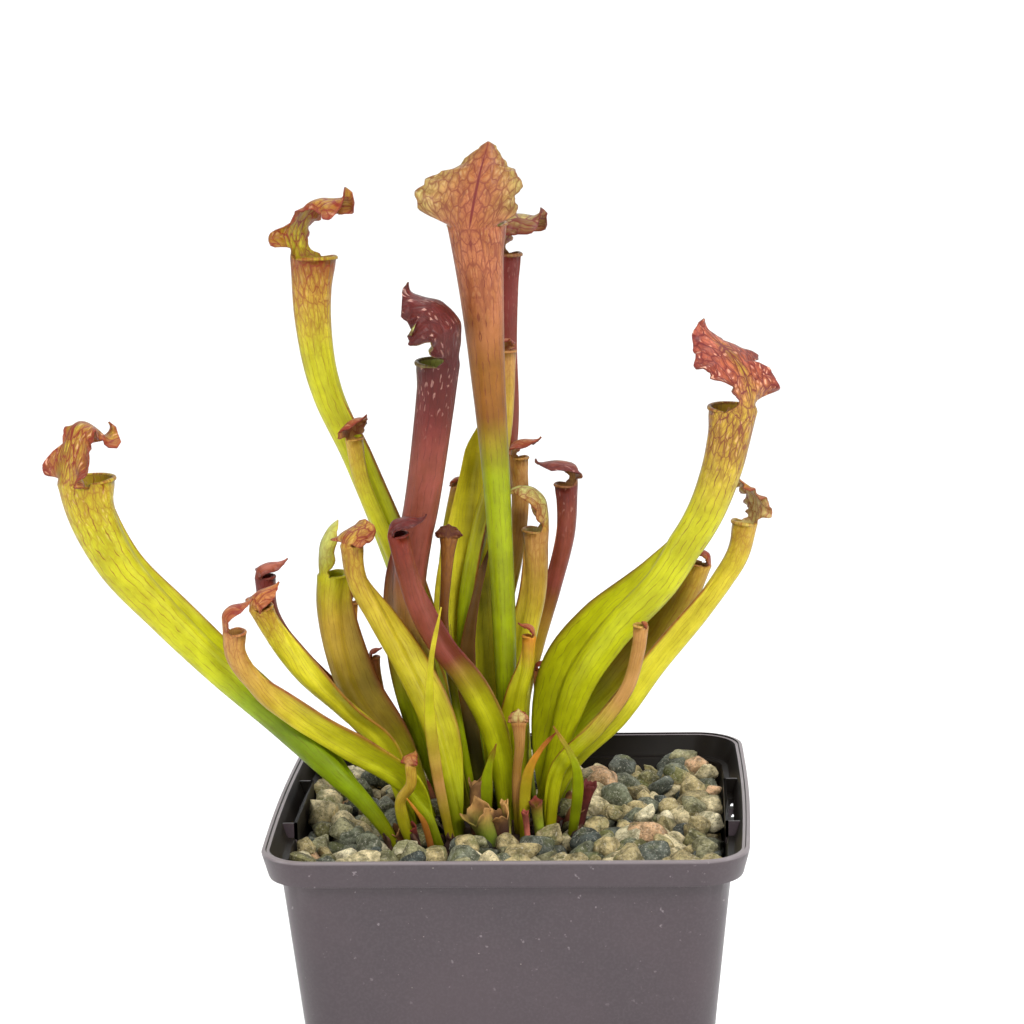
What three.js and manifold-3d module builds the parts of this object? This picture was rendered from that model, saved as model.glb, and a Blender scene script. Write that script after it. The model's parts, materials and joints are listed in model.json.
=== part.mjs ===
// Potted pitcher plant: a square nursery pot with growing medium, a gravel top
// layer, a rhizome with its roots, and the leaves that rise from the rhizome.
// Millimetres, +Z up. The origin is the middle of the pot's underside.
// +Y points away from the side that the longest leaves spread across.

import * as THREE from 'three';
import { mergeVertices } from 'three/addons/utils/BufferGeometryUtils.js';
import Module from 'manifold-3d';

const wasm = await Module();
wasm.setup();

// Driving dimensions of the pot

const RIM_HALF = 60;            // half the outer width at the top edge
const RIM_FOOT_HALF = 58.6;     // half the outer width at the rim band's lower edge
const RIM_TOP_WIDTH = 2.2;
const RIM_BAND = 7.2;           // height of the rim band
const BODY_TOP_HALF = 54.4;     // half the outer width just below the band
const BODY_FOOT_HALF = 45.4;
const POT_HEIGHT = 115;
const WALL = 1.4;
const FLOOR = 2.4;
const CORNER_RADIUS = 10;
const FOOT_LIFT = 2;            // how far the floor between the feet stands clear
const FOOT_PAD = 22;            // side of a corner foot
const CENTRE_FOOT = 12;         // side of the foot under the middle of the floor
const DRAIN_RADIUS = 3.6;
const DRAIN_RING = 27;
const INNER_DRAIN_RING = 17;
const CORNER_STEPS = 4;
const EDGE_EASE = 0.8;          // small bevels that break the rim's edges
const POCKET_LENGTH = 40;       // label pocket inside the left and right walls
const POCKET_WALL = 1.2;
const POCKET_TOP = 113;
const SLOT_LENGTH = 9;
const SLOT_WIDTH = 1.6;

// Driving dimensions of what fills the pot

const CLEARANCE = 0.35;         // gap between pieces that touch
const SOIL_TOP = 95;
const SLAB_TOP = 104.2;         // the closed bed that the top stones stand out of
const EDGE_DROP = 2.4;          // how much lower the stones lie at the rim
const STONES_ACROSS = 8;
const STONE_RADIUS = 6;
const CROWN = new THREE.Vector3(-7, 4, 98.5);
const CROWN_SIZE = new THREE.Vector3(34, 27, 9);
const ROOTS = 6;
const FOOT_DEPTH = 101;         // height at which the leaves start in the rhizome

// Leaf proportions

const LEAF_WALL = 0.75;
const HOOD_THICKNESS = 0.75;
const HOOD_DRAPE = 0.7;         // how far the margins bend down beyond the lobes, in radians
const WING_EDGE = 0.42;         // half the thickness of a wing's edge
const MOUTH_LEVEL = 1.5;        // how far the mouth turns from its course towards level
const REAR_ARC = 1.34;          // half the angle of the mouth that carries the hood

// Colours

const COLOURS = {
  pot: 0x6a625f,
  soil: 0x3a2c20,
  gravel: 0x9c9682,
  crown: 0x4d2f1c,
  lime: 0xa9b729,
  olive: 0x7f8f1f,
  yellow: 0xb9b53a,
  copper: 0xa9694a,
  maroon: 0x5e2327,
  red: 0x7c3430,
  blade: 0x7ea01c,
  amber: 0xb9772f,
};

// The pitchers. Each row gives where the leaf leaves the rhizome and points along the
// middle of the leaf up to the middle of its mouth. Face is the way that the mouth and
// the wing look, in degrees (0 is +X, counterclockwise from above). Tube is the radius
// at the foot, waist and mouth. Wing is its width, and where along the leaf it starts
// and ends. Hood is its length, half width, lean at the neck and at the tip in degrees,
// and how the margins of its lobes bend (radians, less than 0 turns them back). Sway
// leans a hood to one side, in degrees.

const PITCHERS = [
  { name: 'pitcher_far_left', colour: 'lime', large: true, foot: [-29, -14],
    course: [[-34, -16, 111], [-45, -17, 124], [-57, -18, 137.5], [-74, -19, 153], [-87, -20, 167],
      [-98, -21, 181], [-104, -22, 196], [-105, -22, 203]],
    face: 35, tube: [1.6, 4.2, 7], wing: [4.4, 0.22, 0.95], hood: [23, 9, 8, 86, -0.9] },
  { name: 'pitcher_top_left', colour: 'lime', large: true, foot: [-14, 19],
    course: [[-20, 19, 140], [-29, 20, 172], [-40, 23, 200], [-49, 26, 219], [-52, 29, 236],
      [-52, 31, 252]],
    face: -35, tube: [1.7, 3.1, 5.7], wing: [2.4, 0.1, 0.78], hood: [24, 9, 8, 66, -0.9] },
  { name: 'pitcher_centre_tall', colour: 'copper', large: true, foot: [-3.5, 14],
    course: [[-2, 12, 141], [-2, 11, 161], [-3, 8, 196], [-5, 6, 228], [-6, 4, 248], [-7, 3, 263]],
    face: 80, tube: [1.5, 3.05, 6.7], wing: [3, 0.1, 0.8], hood: [23, 14.5, 0, 44, -0.35], sway: -9 },
  { name: 'pitcher_dark_tall', colour: 'maroon', large: true, foot: [-14, 2],
    course: [[-23, 1, 135], [-27, -1, 158], [-27, -2, 171], [-22, -6, 192], [-18, -9, 216],
      [-16, -11, 230]],
    face: 170, tube: [2, 4.2, 5.2], wing: [4.4, 0.05, 0.66], hood: [23, 10.5, 5, 62, -0.9] },
  { name: 'pitcher_big_right', colour: 'lime', large: true, foot: [6, 12],
    course: [[10, 9, 131], [14, 6, 146], [22.5, 3, 159], [38, 0, 173.5], [48.5, -3, 187],
      [54.5, -6, 201], [58, -8, 217]],
    face: 150, tube: [1.5, 4, 5.8], wing: [6.2, 0.1, 0.68], hood: [27, 10.5, 8, 66, -0.9] },
  { name: 'pitcher_second_right', colour: 'lime', large: true, foot: [5.5, 3],
    course: [[14, 4, 122], [26, 6, 134], [35.5, 8, 147.5], [49, 10, 163], [58.5, 11, 175],
      [61, 11, 184]],
    face: 215, tube: [1.8, 2.1, 2.9], wing: [2.2, 0.05, 0.85], hood: [14, 6, 0, 66, -0.9] },
  { name: 'pitcher_back_tall', colour: 'maroon', large: true, foot: [-8, 27],
    course: [[-12, 30, 133], [-9, 32, 158], [-5.5, 33, 179], [-1.5, 33, 206], [-1.5, 33, 230],
      [-0.5, 33, 252]],
    face: -20, tube: [1.7, 2.9, 3.1], wing: [2.5, 0.1, 0.6], hood: [15.5, 6, 2, 74, -0.9] },
  { name: 'pitcher_low_left', colour: 'yellow', large: false, foot: [-18, -11],
    course: [[-26, -15, 122], [-39, -20, 133], [-52, -25, 143], [-62, -30, 152], [-67, -34, 161],
      [-67, -36, 167]],
    face: -20, tube: [1.3, 2.3, 2.7], wing: [7.2, 0.15, 0.82], hood: [10, 3.8, 5, 88, -0.5] },
  { name: 'pitcher_mid_left', colour: 'yellow', large: false, foot: [-25, -5],
    course: [[-33, -8, 130], [-42, -10, 139], [-52, -14, 149], [-59.5, -18, 160],
      [-62.5, -22, 168]],
    face: -40, tube: [1.5, 2.4, 2.7], wing: [3.2, 0.1, 0.9], hood: [11, 4.6, 5, 105, -0.7] },
  { name: 'pitcher_red_left', colour: 'maroon', large: false, foot: [-26, 5.5],
    course: [[-34, 5, 126], [-46, 2, 141], [-55, -1, 152], [-62, -3, 164], [-63, -4, 174]],
    face: -10, tube: [1.5, 2.1, 2.5], wing: [2, 0.1, 0.8], hood: [10, 3.8, 5, 100, -0.7] },
  { name: 'pitcher_olive_left', colour: 'olive', large: false, foot: [-19, 0],
    course: [[-32, -1, 131], [-39, -2, 143], [-43, -4, 156], [-45, -5, 167], [-45, -6, 175]],
    face: 0, tube: [1.4, 2.4, 3.5], wing: [1.4, 0.2, 0.95], hood: [12, 3.6, 5, 48, 0.4] },
  { name: 'pitcher_gold_left', colour: 'yellow', large: false, foot: [-14, -6],
    course: [[-18, -8, 134], [-25, -10, 152], [-32, -13, 165], [-38, -15, 176], [-39, -17, 185]],
    face: 20, tube: [1.6, 2, 2.2], wing: [4.6, 0.1, 0.9], hood: [11, 5.2, 0, 88, -0.9] },
  { name: 'pitcher_dark_front', colour: 'maroon', large: false, foot: [-2.5, 4],
    course: [[-4, 0, 130], [-10, -5, 146], [-18, -10, 159], [-24, -15, 173], [-27, -20, 188]],
    face: -30, tube: [1.6, 2.8, 2.5], wing: [3.4, 0.1, 0.85], hood: [11, 4, 5, 105, -0.7] },
  { name: 'pitcher_flared', colour: 'red', large: false, foot: [-9.5, 7],
    course: [[-15, 2, 140], [-17, -3, 162], [-16, -5, 174], [-15, -6, 184.5]],
    face: 90, tube: [1.1, 1.4, 2], wing: [1, 0.1, 0.6], hood: [5, 4, -10, 35, -0.5] },
  { name: 'pitcher_back_yellow', colour: 'yellow', large: false, foot: [-8, 17.5],
    course: [[-12, 16.5, 139], [-12, 16.5, 161], [-8, 17, 183], [-2.5, 18, 204], [-1, 19, 219],
      [-0.8, 19, 228.5]],
    face: -60, tube: [1.6, 2.2, 2.4], wing: [2.5, 0.1, 0.7], hood: [6, 3, 0, 60, -0.7] },
  { name: 'pitcher_back_middle', colour: 'olive', large: false, foot: [-3, 24],
    course: [[-6, 26, 137], [-4, 26, 153], [0, 26, 172], [1.8, 26, 186], [1.5, 26, 199]],
    face: -50, tube: [1.6, 2.1, 2.4], wing: [1.6, 0.1, 0.7], hood: [9, 4, 5, 80, -0.7] },
  { name: 'pitcher_tan_curled', colour: 'amber', large: false, foot: [1, 19],
    course: [[0, 20, 137], [2, 18, 152], [5, 16, 164], [6, 15, 172], [6.5, 14, 182]],
    face: 195, tube: [1.3, 2.4, 3.5], wing: [1.4, 0.1, 0.9], hood: [14, 4.4, 5, 72, -0.5] },
  { name: 'pitcher_red_right', colour: 'maroon', large: false, foot: [4, 25],
    course: [[1, 28, 131], [5, 26, 148], [10, 23, 165], [14, 20, 181], [14.5, 19, 193]],
    face: 220, tube: [1.3, 1.9, 2.9], wing: [1.2, 0.1, 0.9], hood: [12, 6, 5, 78, -0.9] },
  { name: 'pitcher_hidden_right', colour: 'amber', large: false, foot: [11, 16],
    course: [[15, 16, 126], [26, 18, 140], [37, 20, 155], [44, 21, 164], [47, 21, 172]],
    face: 180, tube: [1.6, 2.2, 2.6], wing: [2, 0.1, 0.7], hood: [7, 3, 0, 90, -0.7] },
  { name: 'pitcher_brown_right', colour: 'amber', large: false, foot: [9, -3],
    course: [[12, -5, 123], [22, -7, 134], [30, -9, 145], [33, -10, 155], [34, -11, 162]],
    face: 180, tube: [1.4, 1.6, 1.7], wing: [1, 0.1, 0.7], hood: [4, 2, 10, 100, -0.7] },
  { name: 'pitcher_over_top_left', colour: 'yellow', large: false, foot: [-11, 14],
    course: [[-16, 13, 127], [-23, 13, 152], [-32, 14, 178], [-39, 16, 195], [-41, 17, 206]],
    face: -50, tube: [1.6, 1.9, 2.2], wing: [2.5, 0.1, 0.7], hood: [9, 4.6, 5, 90, -0.7] },
  { name: 'pitcher_yellow_hook', colour: 'yellow', large: false, foot: [-0.5, 9.5],
    course: [[-1, 5, 129], [1, 1, 141], [4, -1, 150], [5, -1, 157]],
    face: 180, tube: [1.3, 1.5, 1.6], wing: [1, 0.1, 0.7], hood: [5, 2, 10, 120, -0.7] },
  { name: 'pitcher_small_front', colour: 'red', large: false, foot: [1, -1],
    course: [[1, -4, 121], [2, -6, 129], [2, -7, 136]],
    face: 90, tube: [1, 1.2, 1.6], wing: [0.5, 0.1, 0.7], hood: [4.5, 2.6, 0, 25, -0.7] },
  { name: 'pitcher_hook_left', colour: 'amber', large: false, foot: [-27, 2],
    course: [[-30, 3.5, 127], [-34, 3.5, 138], [-35.5, 2.5, 146], [-36, 2, 151]],
    face: 0, tube: [1, 1.2, 1.4], wing: [0.5, 0.1, 0.7], hood: [4, 1.8, 10, 120, -0.7] },
  { name: 'pitcher_thin_left', colour: 'amber', large: false, foot: [-24, 12],
    course: [[-35, 11, 130], [-40, 10, 144], [-42, 10, 155], [-42, 9, 164]],
    face: -20, tube: [1.1, 1.3, 1.5], wing: [0.5, 0.1, 0.7], hood: [6, 2.2, 0, 100, -0.7] },
  { name: 'pitcher_hook_right', colour: 'amber', large: false, foot: [8, 21],
    course: [[7, 22, 125], [6, 23, 134], [6, 23, 142]],
    face: 0, tube: [1, 1.2, 1.4], wing: [0.5, 0.1, 0.7], hood: [4, 1.8, 10, 120, -0.7] },
  { name: 'pitcher_behind_dark', colour: 'olive', large: false, foot: [-12.5, 9],
    course: [[-15, 8, 134], [-18, 9, 162], [-17, 11, 179], [-15, 14, 191]],
    face: -30, tube: [1.3, 1.5, 1.7], wing: [1, 0.1, 0.7], hood: [5, 2.4, 0, 80, -0.7] },
  { name: 'pitcher_front_curl', colour: 'amber', large: false, foot: [-24, -15],
    course: [[-28, -19, 118], [-25, -22, 124], [-25, -23, 129]],
    face: 60, tube: [1, 1.4, 1.4], wing: [1.2, 0.05, 0.7], hood: [4, 2.2, 0, 100, -0.7] },
];

// The flat leaves, which carry no pitcher: foot, points along the middle up to the
// tip, the way that the flat side faces, and the half width.

const BLADES = [
  { name: 'blade_front', colour: 'yellow', foot: [-15.5, -9],
    course: [[-19, -16, 126], [-20, -21, 143], [-19, -24, 157], [-16, -26, 171]],
    face: -70, half: 1.6 },
  { name: 'blade_orange_tip', colour: 'amber', foot: [2.5, -4.5],
    course: [[4, -7, 122], [7.5, -8, 129], [12, -8, 134]],
    face: -80, half: 1.5 },
  { name: 'blade_drooping', colour: 'blade', foot: [14.5, -4],
    course: [[17, -9, 120], [16, -11, 127], [11, -11, 136]],
    face: -80, half: 1.5 },
  { name: 'blade_centre', colour: 'blade', foot: [-8, -2],
    course: [[-7, -4, 118], [-6, -5, 124], [-4, -6, 130]], face: -90, half: 1.9 },
  { name: 'blade_curl', colour: 'amber', foot: [-20, -16],
    course: [[-22, -21, 113], [-23.5, -24, 117], [-26, -25, 121]],
    face: -60, half: 0.9 },
  { name: 'blade_wide', colour: 'blade', foot: [-12, 22],
    course: [[-12, 22.5, 140], [-12, 22, 165], [-10, 22, 190], [-6.5, 22, 214]],
    face: -100, half: 6.4 },
  { name: 'blade_olive', colour: 'olive', foot: [-7, 10.5],
    course: [[-12, 11, 134], [-12, 11.5, 151], [-9, 12, 167], [-5.5, 13, 179]],
    face: -90, half: 2.4 },
];

// Stubs of old leaves on the rhizome, cut short and open at the top

const STUBS = [
  { foot: [-12, -12], tip: [-15, -15, 113], radius: 2.4 },
  { foot: [-5, -8], tip: [-5, -11, 111], radius: 1.8 },
  { foot: [-31, -8], tip: [-35, -9, 110], radius: 1.6 },
  { foot: [12, 4], tip: [17, 2, 112], radius: 1.7 },
  { foot: [-20, 16], tip: [-24, 19, 113], radius: 1.8 },
  { foot: [10, 8], tip: [15, 11, 111], radius: 1.6 },
];

// Solids

function solid(positions, triangles) {
  return new wasm.Manifold(new wasm.Mesh({
    numProp: 3,
    vertProperties: new Float32Array(positions.flatMap((point) => point.toArray())),
    triVerts: new Uint32Array(triangles.flat()),
  }));
}

function solidOf(geometry) {
  const bare = geometry.clone();
  bare.deleteAttribute('normal');
  bare.deleteAttribute('uv');
  const merged = mergeVertices(bare, 1e-4);
  return new wasm.Manifold(new wasm.Mesh({
    numProp: 3,
    vertProperties: merged.attributes.position.array,
    triVerts: new Uint32Array(merged.index.array),
  }));
}

function largestBody(manifold) {
  const bodies = manifold.decompose();
  return bodies.reduce((best, body) => (body.volume() > best.volume() ? body : best));
}

function meshOf(name, manifold, colour, roughness) {
  const data = manifold.getMesh();
  const geometry = new THREE.BufferGeometry();
  geometry.setAttribute('position', new THREE.BufferAttribute(data.vertProperties, 3));
  geometry.setIndex(new THREE.BufferAttribute(data.triVerts, 1));
  geometry.computeVertexNormals();
  const material = new THREE.MeshStandardMaterial({ color: COLOURS[colour], roughness, metalness: 0 });
  const mesh = new THREE.Mesh(geometry, material);
  mesh.name = name;
  return mesh;
}

function box(width, depth, height, x, y, z) {
  const geometry = new THREE.BoxGeometry(width, depth, height);
  geometry.translate(x, y, z);
  return solidOf(geometry);
}

// Closes a stack of rings, first ring and last ring capped by a fan
function loft(rings) {
  const count = rings[0].length;
  const points = rings.flat();
  const triangles = [];
  for (let row = 0; row + 1 < rings.length; row += 1) {
    for (let k = 0; k < count; k += 1) {
      const next = (k + 1) % count;
      const a = row * count + k;
      const b = row * count + next;
      triangles.push([a, b, b + count], [a, b + count, a + count]);
    }
  }
  const ends = [rings[0], rings[rings.length - 1]];
  ends.forEach((ring, end) => {
    const middle = ring.reduce((sum, point) => sum.add(point), new THREE.Vector3());
    points.push(middle.divideScalar(count));
    const centre = points.length - 1;
    const start = end === 0 ? 0 : (rings.length - 1) * count;
    for (let k = 0; k < count; k += 1) {
      const a = start + k;
      const b = start + ((k + 1) % count);
      triangles.push(end === 0 ? [centre, b, a] : [centre, a, b]);
    }
  });
  return solid(points, triangles);
}

// A square ring with round corners, counterclockwise from above
function roundedSquare(half, z, radius) {
  const ring = [];
  for (let corner = 0; corner < 4; corner += 1) {
    for (let k = 0; k <= CORNER_STEPS; k += 1) {
      const angle = (corner + k / CORNER_STEPS) * Math.PI / 2;
      const turn = corner * Math.PI / 2 + Math.PI / 4;
      const reach = (half - radius) * Math.SQRT2;
      ring.push(new THREE.Vector3(
        reach * Math.cos(turn) + radius * Math.cos(angle),
        reach * Math.sin(turn) + radius * Math.sin(angle),
        z,
      ));
    }
  }
  return ring;
}

// A fixed pseudo random number from 0 to 1 for a stone or a root
function chance(index, channel) {
  const value = Math.sin(index * 127.1 + channel * 311.7 + 17.3) * 43758.5453;
  return value - Math.floor(value);
}

// Pot

function innerHalf(z) {
  const taper = (BODY_TOP_HALF - BODY_FOOT_HALF) / (POT_HEIGHT - RIM_BAND);
  return BODY_FOOT_HALF + taper * z - WALL;
}

function makePot() {
  const bandFoot = POT_HEIGHT - RIM_BAND;
  const floorTop = FOOT_LIFT + FLOOR;
  const ledge = bandFoot + WALL;
  const shell = loft([
    roundedSquare(BODY_FOOT_HALF, 0, CORNER_RADIUS),
    roundedSquare(BODY_TOP_HALF, bandFoot, CORNER_RADIUS),
    roundedSquare(RIM_FOOT_HALF - EDGE_EASE, bandFoot, CORNER_RADIUS + 1),
    roundedSquare(RIM_FOOT_HALF, bandFoot + EDGE_EASE, CORNER_RADIUS + 1.6),
    roundedSquare(RIM_HALF, POT_HEIGHT - EDGE_EASE / 2, CORNER_RADIUS + 2),
    roundedSquare(RIM_HALF - EDGE_EASE / 2, POT_HEIGHT, CORNER_RADIUS + 2),
    roundedSquare(RIM_HALF - RIM_TOP_WIDTH, POT_HEIGHT, CORNER_RADIUS + 0.6),
    roundedSquare(RIM_FOOT_HALF - RIM_TOP_WIDTH, ledge, CORNER_RADIUS),
    roundedSquare(innerHalf(ledge), ledge, CORNER_RADIUS - 1),
    roundedSquare(innerHalf(floorTop), floorTop, CORNER_RADIUS - 1.4),
  ]);
  let pot = shell;
  // The floor stands clear between the four corner feet and the middle one, so that
  // water can leave
  const channel = 2 * BODY_FOOT_HALF - 2 * FOOT_PAD;
  const long = 4 * BODY_FOOT_HALF;
  const cross = box(channel, long, 2 * FOOT_LIFT, 0, 0, 0)
    .add(box(long, channel, 2 * FOOT_LIFT, 0, 0, 0))
    .subtract(box(CENTRE_FOOT, CENTRE_FOOT, 4 * FOOT_LIFT, 0, 0, 0));
  pot = pot.subtract(cross);
  for (let k = 0; k < 8; k += 1) {
    const angle = k * Math.PI / 4;
    const reach = k % 2 === 0 ? DRAIN_RING : INNER_DRAIN_RING;
    const drain = new THREE.CylinderGeometry(DRAIN_RADIUS, DRAIN_RADIUS, 4 * FLOOR, 12);
    drain.rotateX(Math.PI / 2);
    drain.translate(reach * Math.cos(angle), reach * Math.sin(angle), FOOT_LIFT);
    pot = pot.subtract(solidOf(drain));
  }
  // A label pocket on the left and the right: a thin upright wall on the ledge's
  // inner edge, a rib at each end, and three slots through the ledge
  for (const side of [-1, 1]) {
    const wallX = innerHalf(ledge) + POCKET_WALL / 2 + 0.1;
    const ribSpan = RIM_HALF - RIM_TOP_WIDTH / 2 - wallX;
    const height = POCKET_TOP - ledge + 1;
    const middle = ledge - 1 + height / 2;
    pot = pot.add(box(POCKET_WALL, POCKET_LENGTH, height, side * wallX, 0, middle));
    for (const end of [-1, 1]) {
      const ribY = end * (POCKET_LENGTH - POCKET_WALL) / 2;
      pot = pot.add(box(ribSpan, POCKET_WALL, height, side * (wallX + ribSpan / 2), ribY, middle));
    }
    const slotX = wallX + POCKET_WALL / 2 + SLOT_WIDTH / 2 + 0.5;
    for (const place of [-1, 0, 1]) {
      const slotY = place * (SLOT_LENGTH + 3);
      pot = pot.subtract(box(SLOT_WIDTH, SLOT_LENGTH, 6, side * slotX, slotY, ledge));
    }
  }
  return pot;
}

// Leaves

function smooth(value) {
  const t = Math.min(Math.max(value, 0), 1);
  return t * t * (3 - 2 * t);
}

// Straight pieces between listed [place, value] pairs, eased at each pair
function eased(place, pairs) {
  let k = 0;
  while (k + 2 < pairs.length && place > pairs[k + 1][0]) k += 1;
  const [from, start] = pairs[k];
  const [to, end] = pairs[k + 1];
  return start + (end - start) * smooth((place - from) / (to - from));
}

function courseCurve(leaf) {
  const points = [new THREE.Vector3(leaf.foot[0], leaf.foot[1], FOOT_DEPTH)];
  leaf.course.forEach((point) => points.push(new THREE.Vector3(...point)));
  return new THREE.CatmullRomCurve3(points, false, 'centripetal');
}

// The leaf's own axes at a place: along it, towards its wing, and across. The mouth
// at the very end lies closer to level than the leaf's course.
function axesAt(curve, place, faceDegrees) {
  const along = curve.getTangentAt(place);
  if (place === 1) along.add(new THREE.Vector3(0, 0, MOUTH_LEVEL)).normalize();
  const turn = THREE.MathUtils.degToRad(faceDegrees);
  const front = new THREE.Vector3(Math.cos(turn), Math.sin(turn), 0);
  front.addScaledVector(along, -front.dot(along)).normalize();
  const across = new THREE.Vector3().crossVectors(along, front);
  return { point: curve.getPointAt(place), along, front, across };
}

function tubeRadius(leaf, place) {
  const [foot, waist, mouth] = leaf.tube;
  return foot + (waist - foot) * smooth(place / 0.38) + (mouth - waist) * place ** 4;
}

function wingWidth(leaf, place) {
  const [width, from, to] = leaf.wing;
  const along = Math.min(Math.max((place - from) / (to - from), 0), 1);
  return width * Math.sin(Math.PI * along ** 0.9) ** 0.9;
}

// One point of the pitcher's wall. The angle is measured from the wing.
function wallPoint(leaf, axes, place, angle, radius, edge) {
  const wing = wingWidth(leaf, place);
  const nearEdge = edge ? 1 : 0;
  const forward = radius * Math.cos(angle) + wing * (nearEdge - 0.5);
  const wide = radius * Math.sin(angle);
  const thin = Math.sign(angle) * Math.max(WING_EDGE, Math.abs(wide) * (1 - smooth(wing)));
  return axes.point.clone()
    .addScaledVector(axes.front, forward)
    .addScaledVector(axes.across, edge ? thin : wide);
}

// The hood is a strip that carries on from the rear of the mouth. It narrows to a
// neck, widens to two lobes whose margins turn back, and ends in a point.
function hoodPoint(leaf, top, radius, rib, share, side) {
  const [, halfWidth, , , curl] = leaf.hood;
  const half = eased(share, [[0, radius * REAR_ARC], [0.15, radius * 1.15], [0.36, halfWidth],
    [0.64, halfWidth * 0.84], [0.84, halfWidth * 0.46], [1, 0.35]]);
  const bend = eased(share, [[0, REAR_ARC], [0.16, 0.7], [0.33, curl], [0.52, curl * 0.4],
    [0.76, HOOD_DRAPE], [1, HOOD_DRAPE * 0.3]]);
  const safeBend = Math.abs(bend) < 0.02 ? 0.02 : bend;
  const across = half * Math.sin(safeBend * side) / safeBend;
  const lift = half * (1 - Math.cos(safeBend * side)) / safeBend;
  const wave = leaf.large ? 0.9 : 0.4;
  const ripple = wave * smooth((share - 0.25) / 0.3) * Math.abs(side) ** 3
    * Math.sin(16 * share + 1.6 * side);
  return rib.point.clone()
    .addScaledVector(top.across, across)
    .addScaledVector(rib.normal, lift + ripple);
}

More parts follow.
